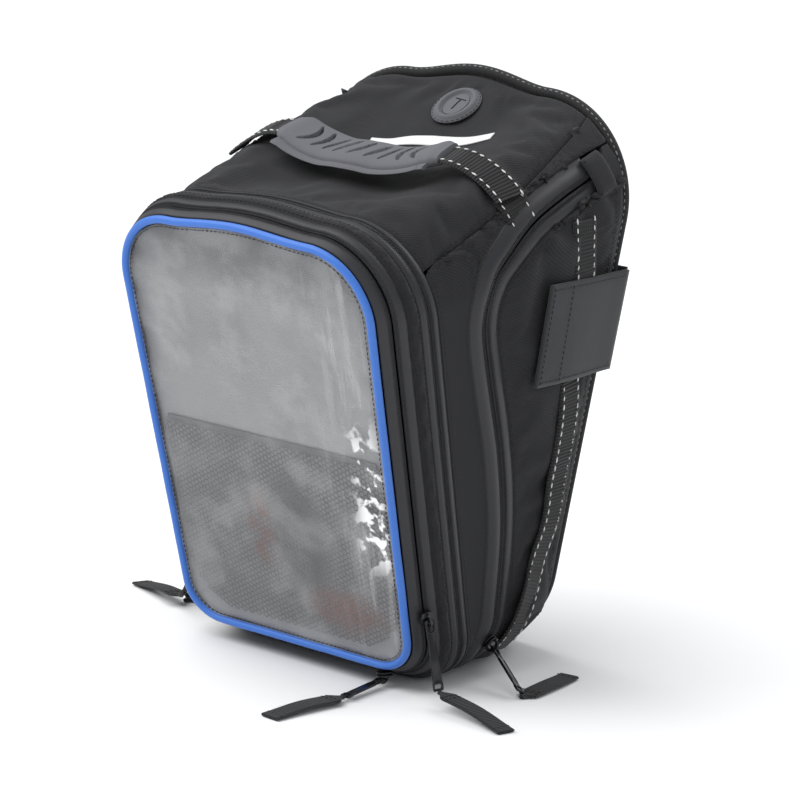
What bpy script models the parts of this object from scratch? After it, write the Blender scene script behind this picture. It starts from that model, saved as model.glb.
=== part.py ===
"""Motorcycle tank bag, standing on its narrow rear end.

Metres, +Z up. The map window faces -Y, the base that lies on the tank faces +Y, and the bag is
symmetric about X = 0. The origin is the middle of the foot, on the plane the bag stands on.
"""

import bisect
import math
from dataclasses import dataclass

import bmesh
import bpy
from mathutils import Matrix, Vector

MM = 0.001

# Overall shape. Each outline is seen along Y: half widths, height, corner radii and top crown.
BASE_Y = 70 * MM
FRONT_Y = -84 * MM
LEAN = 0.32
BASE_SHAPE = (83 * MM, 133 * MM, 369 * MM, 60 * MM, 68 * MM, 8 * MM)
SEAM_SHAPE = (100 * MM, 114 * MM, 302 * MM, 38 * MM, 54 * MM, 4 * MM)
FRONT_SHAPE = (100 * MM, 109 * MM, 297 * MM, 38 * MM, 52 * MM, 4 * MM)
FRONT_INSET = 8 * MM
FRONT_INSET_RUN = 30 * MM
FOOT_LIFT = 12 * MM
FOOT_LIFT_RUN = 40 * MM
BULGE = 6 * MM
SAG = 20 * MM

# Cloth, foam and clearances.
WALL = 4 * MM
TAPE = 2 * MM
SEAM_GAP = 1 * MM
FIT_GAP = 0.4 * MM
LAY_GAP = 2.1 * MM
SLIDER_GAP = 1.5 * MM

# Bands of the front section, as distances behind the map face.
PIPING_RADIUS = 3 * MM
LID_DEPTH = 14 * MM
FRONT_TAPE_END = 23 * MM
EXPANSION_BAND = 7 * MM
SEAM_DEPTH = 50 * MM
EXPANSION_TRAVEL = 35 * MM
SLEEVE_INSET = 14 * MM
SLEEVE_WALL = 1.6 * MM
SLEEVE_START = 38 * MM
ORGANISER_FLOOR_DEPTH = 41 * MM
FLOOR_THICKNESS = 3 * MM
FLOOR_GAP = 1.5 * MM

# Map lid.
WINDOW_THICKNESS = 1 * MM
BACKING_THICKNESS = 2 * MM
MAP_SLOT = 2.5 * MM
MESH_THICKNESS = 0.8 * MM
MESH_TOP = 152 * MM
MESH_SIDE_GAP = 9 * MM
HINGE_HALF = 58 * MM

# Base.
BASE_THICKNESS = 8 * MM
BINDING_RADIUS = 4 * MM
BOARD_THICKNESS = 2.5 * MM
BOARD_INSET = 14 * MM
BOARD_GAP = 1.5 * MM
PAD_THICKNESS = 2 * MM
PAD_INSET = 30 * MM
WALL_END = max(BASE_THICKNESS, 2 * BINDING_RADIUS) + 0.5 * WALL + SEAM_GAP

# Main zip: corner parameter of the outline, and share of the way from the expansion seam to the base.
ZIP_PATH = (
    (0.0, 0.19), (1.0, 0.19), (1.5, 0.19), (1.8, 0.215), (2.02, 0.27), (2.28, 0.315), (2.52, 0.29),
    (2.75, 0.24), (2.92, 0.22), (3.08, 0.27), (3.2, 0.36), (3.29, 0.48), (3.33, 0.64), (3.35, 0.82),
)
MAIN_TAPE_UPPER = 13 * MM
MAIN_TAPE_LOWER = 9 * MM
SHOULDER_SEAM = ((3.35, 0.0), (3.42, 0.3), (3.49, 0.52), (3.68, 1.0))
GARAGE_LENGTH = 20 * MM
GARAGE_WIDTH = 24 * MM

# Webbing, wrap tabs and handle.
WEBBING_WIDTH = 25 * MM
WEBBING_THICKNESS = 1.6 * MM
SIDE_WEBBING_PATH = (
    (3.17, 57 * MM), (2.95, 55 * MM), (2.65, 48 * MM), (2.42, 46 * MM), (2.26, 46 * MM),
    (2.12, 52 * MM), (1.95, 62 * MM), (1.62, 70 * MM),
)
TAB_LOW = 196 * MM
TAB_HEIGHT = 66 * MM
TAB_LENGTH = 96 * MM
TAB_THICKNESS = 2.4 * MM
HOOK_LENGTH = 22 * MM
HOOK_MARGIN = 3 * MM
HOOK_THICKNESS = 1.2 * MM
ANCHOR_LENGTH = 20 * MM
HANDLE_FROM_BASE = 127 * MM
HANDLE_END_FROM_BASE = 118 * MM
HANDLE_HALF_SPAN = 106 * MM
HANDLE_END_RISE = 4 * MM
HANDLE_RISE = 13 * MM
GRIP_LENGTH = 128 * MM
GRIP_WIDTH = 40 * MM
GRIP_THICKNESS = 9 * MM
GRIP_BEVEL = 3 * MM
GRIP_SLOT_GAP = 1 * MM

# Cable port and reflective strip on the top panel.
PORT_X = 8 * MM
PORT_FROM_BASE = 40 * MM
PORT_HALF_LENGTH = 15 * MM
PORT_HALF_WIDTH = 11 * MM
PORT_RIM_RADIUS = 1.8 * MM
PORT_MEMBRANE = 1.6 * MM
PORT_SLIT = 1.2 * MM
PORT_SLIT_SHARE = 0.75
PORT_LIFT = 0.6 * MM
PORT_LIP = 1.5 * MM
PORT_SIDES = 20
STRIP_X = 12 * MM
STRIP_FROM_BASE = 74 * MM
STRIP_LENGTH = 84 * MM
STRIP_WIDTH = 10 * MM
STRIP_THICKNESS = 0.8 * MM
STRIP_GAP = 1.2 * MM
STRIP_TURN = 16

# Zip sliders.
SLIDER_LENGTH = 11 * MM
SLIDER_WIDTH = 8.5 * MM
SLIDER_BODY = 3 * MM
SLIDER_BEVEL = 0.8 * MM
BAIL_LENGTH = 9 * MM
BAIL_HEIGHT = 3.9 * MM
BAIL_THICKNESS = 1.6 * MM
BAIL_SUNK = 0.5 * MM
PULL_LENGTH = 44 * MM
PULL_WIDTH = 7 * MM
PULL_THICKNESS = 1.6 * MM
PULL_BAR = 1.5 * MM
PULL_EYE_LENGTH = 6.4 * MM
PULL_EYE_WIDTH = 4.2 * MM
PULL_SLOT = 3 * MM
PULL_BEVEL = 0.4 * MM
PULL_GAP = 0.6 * MM
TAB_START = 1.4 * MM
FLOOR_CLEARANCE = 0.3 * MM
TAB_STRIP_LENGTH = 62 * MM
TAB_STRIP_WIDTH = 14 * MM
TAB_STRIP_THICKNESS = 2.2 * MM
TAB_STRIP_BEVEL = 0.5 * MM

STATIONS = (
    0, 0.5, 1, 1.25, 1.5, 1.75, 2, 2.33, 2.67, 3, 3.25, 3.5, 3.75, 4, 4.33, 4.67,
)
HALF_LOOP = 5


def smooth(value):
    """Ease from 0 to 1, flat at both ends."""
    value = min(max(value, 0.0), 1.0)
    return value * value * (3 - 2 * value)


@dataclass(frozen=True)
class Outline:
    """Right half of a rounded trapezoid that stands on Z = 0.

    The parameter k runs 0..1 along the bottom, 1..2 round the bottom corner, 2..3 up the side,
    3..4 round the top corner and 4..5 to the middle of the crowned top.
    """

    half_bottom: float
    half_top: float
    height: float
    bottom_radius: float
    top_radius: float
    crown: float

    def point(self, k):
        lean = math.atan2(self.height, self.half_top - self.half_bottom)
        bottom_cut = self.bottom_radius * math.tan(lean / 2)
        top_cut = self.top_radius * math.tan((math.pi - lean) / 2)
        side = Vector((math.cos(lean), math.sin(lean)))
        low = Vector((self.half_bottom, 0)) + side * bottom_cut
        high = Vector((self.half_top, self.height)) - side * top_cut
        if k <= 1:
            return Vector(((self.half_bottom - bottom_cut) * k, 0))
        if k <= 2:
            turn = (k - 1) * lean
            across = self.half_bottom - bottom_cut + self.bottom_radius * math.sin(turn)
            return Vector((across, self.bottom_radius * (1 - math.cos(turn))))
        if k <= 3:
            return low.lerp(high, k - 2)
        if k <= 4:
            turn = lean + (k - 3) * (math.pi - lean)
            across = self.half_top - top_cut + self.top_radius * math.sin(turn)
            return Vector((across, self.height - self.top_radius * (1 + math.cos(turn))))
        share = 5 - k
        crown = self.crown * (1 - share * share) ** 2
        return Vector(((self.half_top - top_cut) * share, self.height + crown))

    def normal(self, k):
        step = 0.002
        along = self.point(min(k + step, 5)) - self.point(max(k - step, 0))
        return Vector((along.y, -along.x)).normalized()


FRONT_OUTLINE = Outline(*FRONT_SHAPE)
SEAM_OUTLINE = Outline(*SEAM_SHAPE)
BASE_OUTLINE = Outline(*BASE_SHAPE)


def fold(u):
    """Turn the loop parameter u, 0..10 all the way round, into k and the side it is on."""
    u = u % (2 * HALF_LOOP)
    return (u, 1) if u <= HALF_LOOP else (2 * HALF_LOOP - u, -1)


def front_point(u, depth, inset=0.0):
    """Skin of the front section, depth behind the map face, inset inwards from the skin."""
    k, side = fold(u)
    share = depth / SEAM_DEPTH
    flat = FRONT_OUTLINE.point(k).lerp(SEAM_OUTLINE.point(k), share)
    sideways = smooth(k - 1)
    round_in = FRONT_INSET * (1 - smooth(depth / FRONT_INSET_RUN))
    lift = FOOT_LIFT * (1 - smooth(depth / FOOT_LIFT_RUN))
    flat = flat - FRONT_OUTLINE.normal(k) * (round_in * sideways + lift * (1 - sideways) + inset)
    return Vector((side * flat.x, FRONT_Y - LEAN * flat.y + depth, flat.y))


def wall_run(u):
    """Length of the skin from the expansion seam to the base, at u."""
    k, _ = fold(u)
    edge = BASE_OUTLINE.point(k)
    return (Vector((edge.x, BASE_Y, edge.y)) - front_point(k, SEAM_DEPTH)).length


def wall_point(u, share, rise=0.0):
    """Skin between the expansion seam (share 0) and the base (share 1), raised outwards by rise."""
    k, side = fold(u)
    edge = BASE_OUTLINE.point(k)
    place = front_point(k, SEAM_DEPTH).lerp(Vector((edge.x, BASE_Y, edge.y)), share)
    out = BASE_OUTLINE.normal(k)
    wave = math.sin(math.pi * min(max(share, 0), 1))
    top = smooth((k - 3.3) / 1.4)
    swell = BULGE * wave**2 * smooth(k - 1) * (1 - top) - SAG * wave * top + rise
    return Vector((side * (place.x + out.x * swell), place.y, place.z + out.y * swell))


def front_normal(u, depth):
    step = 0.02
    along = front_point(u + step, depth) - front_point(u - step, depth)
    deep = front_point(u, depth + MM) - front_point(u, depth - MM)
    return deep.cross(along).normalized()


def share_from_base(u, distance):
    return 1 - distance / wall_run(u)


def wall_normal(u, share):
    step = 0.01
    along = wall_point(u + step, share) - wall_point(u - step, share)
    deep = wall_point(u, share + step) - wall_point(u, share - step)
    return deep.cross(along).normalized()


def perimeter_table():
    """Distance round the mean outline at evenly spaced k."""
    steps = 400
    places = [k * HALF_LOOP / steps for k in range(steps + 1)]
    points = [SEAM_OUTLINE.point(k).lerp(BASE_OUTLINE.point(k), 0.4) for k in places]
    total = [0.0]
    for before, after in zip(points, points[1:]):
        total.append(total[-1] + (after - before).length)
    return places, total


K_PLACES, K_LENGTHS = perimeter_table()


def interpolate(value, xs, ys):
    place = min(max(bisect.bisect_right(xs, value) - 1, 0), len(xs) - 2)
    share = (value - xs[place]) / (xs[place + 1] - xs[place])
    return ys[place] + (ys[place + 1] - ys[place]) * share


def length_at(k):
    return interpolate(k, K_PLACES, K_LENGTHS)


def k_at(length):
    return interpolate(length, K_LENGTHS, K_PLACES)


def through(points, count):
    """Smooth curve through 2D points, as count + 1 samples evenly spaced by parameter."""
    ends = [2 * points[0] - points[1], *points, 2 * points[-1] - points[-2]]
    samples = []
    for step in range(count + 1):
        place = step / count * (len(points) - 1)
        index = min(int(place), len(points) - 2)
        t = place - index
        a, b, c, d = ends[index : index + 4]
        square = (2 * a - 5 * b + 4 * c - d) * t**2
        cube = (3 * b - a - 3 * c + d) * t**3
        samples.append(0.5 * (2 * b + (c - a) * t + square + cube))
    return samples


def even(points, count):
    """The same polyline with count + 1 points at equal distances."""
    total = [0.0]
    for before, after in zip(points, points[1:]):
        total.append(total[-1] + (after - before).length)
    result = []
    for step in range(count + 1):
        target = total[-1] * step / count
        place = min(max(bisect.bisect_right(total, target) - 1, 0), len(points) - 2)
        share = (target - total[place]) / max(total[place + 1] - total[place], 1e-9)
        result.append(points[place].lerp(points[place + 1], share))
    return result


def zip_line(count):
    """The main zip's centre line as (perimeter, depth) points, in metres on the flattened wall."""
    points = [Vector((length_at(k), share * wall_run(k))) for k, share in ZIP_PATH]
    return even(through(points, 96), count)


def beside(line, distance):
    """The line moved sideways: positive towards the lid, negative towards the base."""
    result = []
    for index, point in enumerate(line):
        before = line[max(index - 1, 0)]
        after = line[min(index + 1, len(line) - 1)]
        along = (after - before).normalized()
        result.append(point + Vector((along.y, -along.x)) * distance)
    return result


def on_wall(point, rise=0.0, side=1):
    """Place a (perimeter, depth) point of the flattened wall in space."""
    k = k_at(point.x)
    place = wall_point(k, point.y / wall_run(k), rise)
    return Vector((side * place.x, place.y, place.z))


# ---------------------------------------------------------------------------------------------
# Scene, materials and mesh makers


for old in list(bpy.data.objects):
    bpy.data.objects.remove(old, do_unlink=True)

PARTS = bpy.data.collections.new("tank_bag")
CUTTERS = bpy.data.collections.new("tank_bag_cutters")
for collection in (PARTS, CUTTERS):
    bpy.context.scene.collection.children.link(collection)
CUTTERS.hide_render = True

TWILL = ((0.035, 0.035, 0.038), 0.85, 0.0)
SATIN_TAPE = ((0.03, 0.031, 0.034), 0.45, 0.0)
LOOP_CLOTH = ((0.07, 0.07, 0.075), 0.95, 0.0)
WEBBING = ((0.02, 0.02, 0.022), 0.8, 0.0)
DIE_CAST = ((0.02, 0.02, 0.022), 0.35, 0.9)
RUBBER = ((0.025, 0.025, 0.027), 0.4, 0.0)
BLUE_CORD = ((0.05, 0.2, 0.66), 0.45, 0.0)
CLEAR_FILM = ((0.75, 0.77, 0.78), 0.08, 0.0)
GREY_CLOTH = ((0.33, 0.34, 0.35), 0.8, 0.0)
PALE_TAPE = ((0.85, 0.85, 0.85), 0.4, 0.0)


def dress(item, name, finish):
    colour, roughness, metallic = finish
    material = bpy.data.materials.new(name)
    material.use_nodes = True
    shader = material.node_tree.nodes["Principled BSDF"]
    shader.inputs["Base Color"].default_value = (*colour, 1)
    shader.inputs["Roughness"].default_value = roughness
    shader.inputs["Metallic"].default_value = metallic
    item.data.materials.clear()
    item.data.materials.append(material)


def add_object(name, mesh, finish, origin=(0, 0, 0), collection=PARTS):
    """Link a mesh given in world coordinates, with its object's origin at a chosen point."""
    mesh.transform(Matrix.Translation(-Vector(origin)))
    item = bpy.data.objects.new(name, mesh)
    item.location = origin
    collection.objects.link(item)
    if finish:
        dress(item, name, finish)
    return item


def mesh_from(name, points, faces):
    mesh = bpy.data.meshes.new(name)
    mesh.from_pydata(points, [], faces)
    mesh.update()
    return mesh


def grid(name, rows, finish, thickness, closed=False, origin=(0, 0, 0)):
    """Open sheet from rows of points, front row first, thickened inwards."""
    count = len(rows[0])
    points = [point for row in rows for point in row]
    faces = []
    for row in range(len(rows) - 1):
        for index in range(count if closed else count - 1):
            after = (index + 1) % count
            near, far = row * count, (row + 1) * count
            faces.append((near + index, far + index, far + after, near + after))
    item = add_object(name, mesh_from(name, points, faces), finish, origin)
    solid = item.modifiers.new("thickness", "SOLIDIFY")
    solid.thickness = thickness
    solid.offset = -1
    solid.use_even_offset = False
    return item


def loop_stations(start=0.0, end=2 * HALF_LOOP):
    """Values of u between start and end, at the stations that every band shares."""
    whole = [*STATIONS, HALF_LOOP, *(2 * HALF_LOOP - k for k in reversed(STATIONS))]
    inside = [u for u in whole if start + 0.02 < u < end - 0.02]
    return [start, *inside, end]


def band(name, near, far, finish, thickness=TAPE, start=None, inset=0.0, rows=1, origin=(0, 0, 0)):
    """Strip of the front section between two depths, all round or from u = start to 10 - start."""
    closed = start is None
    stations = loop_stations()[:-1] if closed else loop_stations(start, 2 * HALF_LOOP - start)
    depths = [near + (far - near) * row / rows for row in range(rows + 1)]
    places = [[front_point(u, depth, inset) for u in stations] for depth in depths]
    return grid(name, places, finish, thickness, closed, origin)


def patch(name, near_line, far_line, finish, thickness, rows, rise=0.0, side=1, both=False):
    """Strip of the wall between two (perimeter, depth) lines.

    With both set, the lines start at the middle and the strip is carried on to the other side.
    """
    places = []
    for row in range(rows + 1):
        share = row / rows
        line = [near.lerp(far, share) for near, far in zip(near_line, far_line)]
        right = [on_wall(point, rise) for point in line]
        left = [Vector((-point.x, point.y, point.z)) for point in right]
        if both:
            places.append(left[:0:-1] + right)
        else:
            places.append(right if side > 0 else left[::-1])
    return grid(name, places, finish, thickness)


def plate(name, place, outline, near, far, finish, origin=(0, 0, 0)):
    """Flat or curved plate: an outline of (x, z) points placed at two depths by place(x, z, depth)."""
    count = len(outline)
    points = [place(x, z, near) for x, z in outline] + [place(x, z, far) for x, z in outline]
    mesh = bpy.data.meshes.new(name)
    shape = bmesh.new()
    corners = [shape.verts.new(point) for point in points]
    shape.faces.new(corners[:count])
    shape.faces.new(corners[: count - 1 : -1])
    for index in range(count):
        after = (index + 1) % count
        shape.faces.new((corners[after], corners[index], corners[count + index], corners[count + after]))
    bmesh.ops.triangulate(shape, faces=[face for face in shape.faces if len(face.verts) > 4])
    bmesh.ops.recalc_face_normals(shape, faces=shape.faces)
    shape.to_mesh(mesh)
    shape.free()
    return add_object(name, mesh, finish, origin)


def box(name, size, frame, finish, bevel=0.0, collection=PARTS):
    """Box of a given size in the given frame matrix, which is its object's place."""
    mesh = bpy.data.meshes.new(name)
    shape = bmesh.new()
    bmesh.ops.create_cube(shape, size=1)
    bmesh.ops.scale(shape, vec=size, verts=shape.verts)
    shape.to_mesh(mesh)
    shape.free()
    item = bpy.data.objects.new(name, mesh)
    item.matrix_world = frame
    collection.objects.link(item)
    if finish:
        dress(item, name, finish)
    if bevel:
        rounding = item.modifiers.new("rounding", "BEVEL")
        rounding.width = bevel
        rounding.segments = 1
    return item


def cut(item, cutter, operation="DIFFERENCE"):
    cutter.hide_render = True
    cutter.display_type = "WIRE"
    boolean = item.modifiers.new("cut", "BOOLEAN")
    boolean.operation = operation
    boolean.object = cutter
    boolean.solver = "EXACT"


def frame_of(origin, along, out):
    """Matrix with X along, Z out and its origin at a point."""
    along = Vector(along).normalized()
    across = Vector(out).cross(along).normalized()
    out = along.cross(across)
    rotation = Matrix((along, across, out)).transposed().to_4x4()
    return Matrix.Translation(Vector(origin)) @ rotation


def ring_curve(name, points, radius, finish):
    """Closed round cord through the points, made a mesh."""
    curve = bpy.data.curves.new(name, "CURVE")
    curve.dimensions = "3D"
    curve.bevel_depth = radius
    curve.bevel_resolution = 1
    curve.use_fill_caps = True
    spline = curve.splines.new("POLY")
    spline.points.add(len(points) - 1)
    for target, point in zip(spline.points, points):
        target.co = (*point, 1)
    spline.use_cyclic_u = True
    guide = bpy.data.objects.new(name + "_guide", curve)
    bpy.context.scene.collection.objects.link(guide)
    bpy.context.view_layer.update()
    evaluated = guide.evaluated_get(bpy.context.evaluated_depsgraph_get())
    mesh = bpy.data.meshes.new_from_object(evaluated)
    bpy.data.objects.remove(guide, do_unlink=True)
    mesh.name = name
    return add_object(name, mesh, finish)


def outline_loop(place, inset=0.0, stations=None):
    """Whole outline, counter-clockwise from the bottom middle, as (x, z) points."""
    points = []
    for u in stations or loop_stations()[:-1]:
        k, side = fold(u)
        point = place.point(k) - place.normal(k) * inset
        points.append((side * point.x, point.y))
    return points


# ---------------------------------------------------------------------------------------------
# Map lid


def in_front(x, z, depth):
    """Point on the leaning map face, depth behind it."""
    return Vector((x, FRONT_Y - LEAN * z + depth, z))


def face_loop(inset):
    """Outline of the map face as (x, z) points, inset from the skin's front edge."""
    points = [front_point(u, 0, inset) for u in loop_stations()[:-1]]
    return [(point.x, point.z) for point in points]


def make_map_lid():
    pane_inset = 2 * PIPING_RADIUS + FIT_GAP
    near = PIPING_RADIUS - WINDOW_THICKNESS / 2
    plate("map_window", in_front, face_loop(pane_inset), near, near + WINDOW_THICKNESS, CLEAR_FILM)
    cord = [front_point(u, PIPING_RADIUS, PIPING_RADIUS) for u in loop_stations()[:-1]]
    ring_curve("window_piping", cord, PIPING_RADIUS, BLUE_CORD)
    backing_near = max(near + WINDOW_THICKNESS + MAP_SLOT, 2 * PIPING_RADIUS)
    backing_inset = TAPE + SEAM_GAP + FRONT_INSET / 4
    plate(
        "map_backing", in_front, face_loop(backing_inset), backing_near,
        backing_near + BACKING_THICKNESS, GREY_CLOTH,
    )
    low = FOOT_LIFT + pane_inset + MESH_SIDE_GAP
    inner = [(x, z) for x, z in face_loop(pane_inset + MESH_SIDE_GAP) if z < MESH_TOP]
    right = sorted(((x, z) for x, z in inner if x >= 0 and z > low - MM), key=lambda point: point[1])
    edge = FRONT_OUTLINE.point(2.4).x - pane_inset - MESH_SIDE_GAP - FRONT_INSET
    right.append((edge, MESH_TOP))
    outline = right + [(-x, z) for x, z in reversed(right) if x > 0]
    mesh_near = backing_near - FIT_GAP - MESH_THICKNESS
    plate("mesh_pocket", in_front, outline, mesh_near, mesh_near + MESH_THICKNESS, GREY_CLOTH)
    lid_near = 2 * PIPING_RADIUS + SEAM_GAP / 2
    start = HINGE_HALF / FRONT_OUTLINE.point(1).x
    band("map_zip_tape_outer", lid_near, LID_DEPTH, SATIN_TAPE, start=start)
    reach = start - SEAM_GAP / FRONT_OUTLINE.point(1).x
    across = [reach * step / 2 for step in range(-2, 3)]
    rows = [[front_point(u, depth) for u in across] for depth in (lid_near, LID_DEPTH)]
    grid("hinge_fabric", rows, TWILL, TAPE)


# ---------------------------------------------------------------------------------------------
# Front section


def make_front_section():
    band("map_zip_tape_inner", LID_DEPTH + SEAM_GAP, FRONT_TAPE_END, SATIN_TAPE)
    wall_far = SEAM_DEPTH - 2 * EXPANSION_BAND - SEAM_GAP
    band("front_wall", FRONT_TAPE_END + SEAM_GAP, wall_far, TWILL, WALL, rows=2)
    middle = SEAM_DEPTH - EXPANSION_BAND
    band("expansion_zip_tape_front", wall_far + SEAM_GAP, middle - SEAM_GAP / 2, SATIN_TAPE)
    stations = loop_stations()[:-1]
    hoop = [front_point(u, SLEEVE_START, SLEEVE_INSET) for u in stations]
    reach = SEAM_DEPTH - SLEEVE_START + EXPANSION_TRAVEL + 2 * MM
    back = [point + Vector((0, reach, 0)) for point in hoop]
    grid("expansion_sleeve", [hoop, back], TWILL, SLEEVE_WALL, closed=True)
    depth = ORGANISER_FLOOR_DEPTH
    inset = SLEEVE_INSET + SLEEVE_WALL + FLOOR_GAP
    loop = [front_point(u, depth, inset) for u in stations]
    outline = [(point.x, point.z) for point in loop]
    plate("organiser_floor", in_front, outline, depth, depth + FLOOR_THICKNESS, TWILL)


# ---------------------------------------------------------------------------------------------
# Main lid and lower shell


def wall_edges():
    """The zip's line, and the lines where the cloth starts on each side of it."""
    count = 36
    line = zip_line(count)
    lid_side = beside(line, MAIN_TAPE_UPPER + SEAM_GAP / 2)
    base_side = beside(line, -MAIN_TAPE_LOWER - SEAM_GAP / 2)
    return line, lid_side, base_side


def at_base(k, distance=WALL_END):
    return Vector((length_at(k), wall_run(k) - distance))


def make_walls():
    line, lid_side, base_side = wall_edges()
    end_k = k_at(line[-1].x)
    seam = [Vector((length_at(k), share * wall_run(k))) for k, share in SHOULDER_SEAM]
    seam_line = even(through(seam, 30), 10)
    count = len(line)

    # The lid's wall: from the expansion seam to the zip, then up to the shoulder seam.
    corner = at_base(end_k + 0.14)
    near_base = even([lid_side[-1], corner], 3)[1:]
    along_base = even([corner, at_base(SHOULDER_SEAM[-1][0]) - Vector((SEAM_GAP, 0))], 3)[1:]
    far = lid_side + near_base + along_base
    beside_seam = Vector((1.5 * SEAM_GAP, 0))
    near_end = seam_line[0] - beside_seam + Vector((0, SEAM_GAP))
    flat = [Vector((point.x, SEAM_GAP)) for point in line if point.x < near_end.x - 4 * MM]
    up_seam = even([near_end, *(point - beside_seam for point in seam_line[1:])], count)
    near = even(flat + up_seam[: count - 4], len(far) - 1)
    near = [Vector((point.x, max(point.y, SEAM_GAP))) for point in near]
    patch("upper_wall", near, far, TWILL, WALL, rows=4, both=True)

    # The top panel, between the two shoulder seams.
    rows = []
    for point in seam_line:
        share = min(max(point.y / wall_run(k_at(point.x)), SEAM_GAP / wall_run(5)), 1)
        k = k_at(point.x + SEAM_GAP / 2)
        share = min(share, share_from_base(k, WALL_END))
        span = [k + (2 * (HALF_LOOP - k)) * step / 16 for step in range(17)]
        rows.append([wall_point(u, share) for u in span])
    panel = grid("top_panel", rows, TWILL, WALL)

    # The lower wall, from the zip's base side down to the base.
    end = at_base(end_k + 0.02)
    upper_line = base_side + even([base_side[-1], end - Vector((0, 6 * MM))], 2)[1:]
    lower_line = [Vector((point.x, at_base(k_at(point.x)).y)) for point in upper_line[:-1]] + [end]
    patch("lower_wall", upper_line, lower_line, TWILL, WALL, rows=5, both=True)

    lid_tape = [beside(line, MAIN_TAPE_UPPER - SEAM_GAP / 2), beside(line, SEAM_GAP / 2)]
    base_tape = [beside(line, -SEAM_GAP / 2), beside(line, SEAM_GAP / 2 - MAIN_TAPE_LOWER)]
    patch("main_zip_tape_upper", *lid_tape, SATIN_TAPE, TAPE, rows=1, both=True)
    patch("main_zip_tape_lower", *base_tape, SATIN_TAPE, TAPE, rows=1, both=True)
    middle = SEAM_DEPTH - EXPANSION_BAND
    band("expansion_zip_tape_rear", middle + SEAM_GAP / 2, SEAM_DEPTH - SEAM_GAP / 2, SATIN_TAPE)
    return line, panel


def make_garages(line):
    """Cloth covers where the main zip ends at the base's upper corners."""
    along = (line[-1] - line[-3]).normalized()
    across = Vector((along.y, -along.x))
    start = line[-1] - along * GARAGE_LENGTH * 0.3
    end = start + along * GARAGE_LENGTH
    for side, hand in ((1, "right"), (-1, "left")):
        near = [start + across * GARAGE_WIDTH * (0.5 - step / 4) for step in range(5)]
        far = [end + across * GARAGE_WIDTH * (0.5 - step / 4) for step in range(5)]
        rise = FIT_GAP + TAPE
        patch(f"zip_garage_{hand}", near[::-1], far[::-1], TWILL, TAPE, 2, rise + TAPE, side)


def make_base():
    panel = outline_loop(BASE_OUTLINE, 2 * BINDING_RADIUS + FIT_GAP)
    plate("base_panel", in_back, panel, BASE_Y - BASE_THICKNESS, BASE_Y, TWILL)
    cord = [
        Vector((x, BASE_Y - BINDING_RADIUS, z)) for x, z in outline_loop(BASE_OUTLINE, BINDING_RADIUS)
    ]
    ring_curve("base_binding", cord, BINDING_RADIUS, WEBBING)
    board_far = BASE_Y - BASE_THICKNESS - BOARD_GAP
    board = outline_loop(BASE_OUTLINE, BOARD_INSET)
    plate("base_board", in_back, board, board_far - BOARD_THICKNESS, board_far, RUBBER)
    pad_near = BASE_Y + FIT_GAP
    pad = outline_loop(BASE_OUTLINE, PAD_INSET)
    plate("nonslip_pad", in_back, pad, pad_near, pad_near + PAD_THICKNESS, RUBBER)


def make_side_webbing():
    """Load webbing on each side, from under the main zip down to the foot."""
    points = [Vector((length_at(k), wall_run(k) - base)) for k, base in SIDE_WEBBING_PATH]
    line = even(through(points, 60), 26)[::-1]
    near = beside(line, WEBBING_WIDTH / 2)
    far = beside(line, -WEBBING_WIDTH / 2)
    rise = LAY_GAP + WEBBING_THICKNESS
    for side, hand in ((1, "right"), (-1, "left")):
        patch(f"side_webbing_{hand}", near, far, WEBBING, WEBBING_THICKNESS, 1, rise, side)


def base_edge(z):
    """x of the base's side at height z."""
    low = BASE_OUTLINE.point(2)
    high = BASE_OUTLINE.point(3)
    return low.x + (high.x - low.x) * (z - low.y) / (high.y - low.y)


def k_at_height(z, distance):
    """Corner parameter of the side where the wall is at height z, at a distance from the base."""
    low, high = 2.0, 3.6
    for _ in range(30):
        middle = (low + high) / 2
        if wall_point(middle, share_from_base(middle, distance)).z < z:
            low = middle
        else:
            high = middle
    return low


def side_patch(name, low, high, near, far, rise, thickness, finish, rows, side):
    """Strip of the side between two heights and two distances from the base."""
    places = []
    for row in range(rows + 1):
        distance = far + (near - far) * row / rows
        line = []
        for step in range(5):
            k = k_at_height(low + (high - low) * step / 4, max(distance, 0))
            point = wall_point(k, share_from_base(k, distance), rise)
            line.append(Vector((side * point.x, point.y, point.z)))
        places.append(line if side > 0 else line[::-1])
    return grid(name, places, finish, thickness)


def in_back(x, z, y):
    """Point on an upright plane across Y."""
    return Vector((x, y, z))


def make_wrap_tabs():
    """Wrap-round tabs, the hook patches under their free ends and their sewn ends on the base."""
    high = TAB_LOW + TAB_HEIGHT
    hook_rise = FIT_GAP + HOOK_THICKNESS
    tab_rise = 2 * LAY_GAP + WEBBING_THICKNESS + TAB_THICKNESS
    for side, hand in ((1, "right"), (-1, "left")):
        far = TAB_LENGTH - HOOK_MARGIN
        side_patch(
            f"hook_patch_{hand}", TAB_LOW + HOOK_MARGIN, high - HOOK_MARGIN, far - HOOK_LENGTH, far,
            hook_rise, HOOK_THICKNESS, LOOP_CLOTH, 1, side,
        )
        side_patch(
            f"wrap_tab_{hand}", TAB_LOW, high, SEAM_GAP, TAB_LENGTH, tab_rise, TAB_THICKNESS,
            LOOP_CLOTH, 6, side,
        )
        near = BASE_Y + FIT_GAP
        edge = [base_edge(TAB_LOW) + tab_rise / 2, base_edge(high) + tab_rise / 2]
        corners = [
            (side * edge[0], TAB_LOW), (side * edge[1], high),
            (side * (edge[1] - ANCHOR_LENGTH), high), (side * (edge[0] - ANCHOR_LENGTH), TAB_LOW),
        ]
        plate(
            f"tab_anchor_{hand}", in_back, corners, near, near + PAD_THICKNESS, LOOP_CLOTH,
        )


# ---------------------------------------------------------------------------------------------
# Top panel fittings


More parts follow.
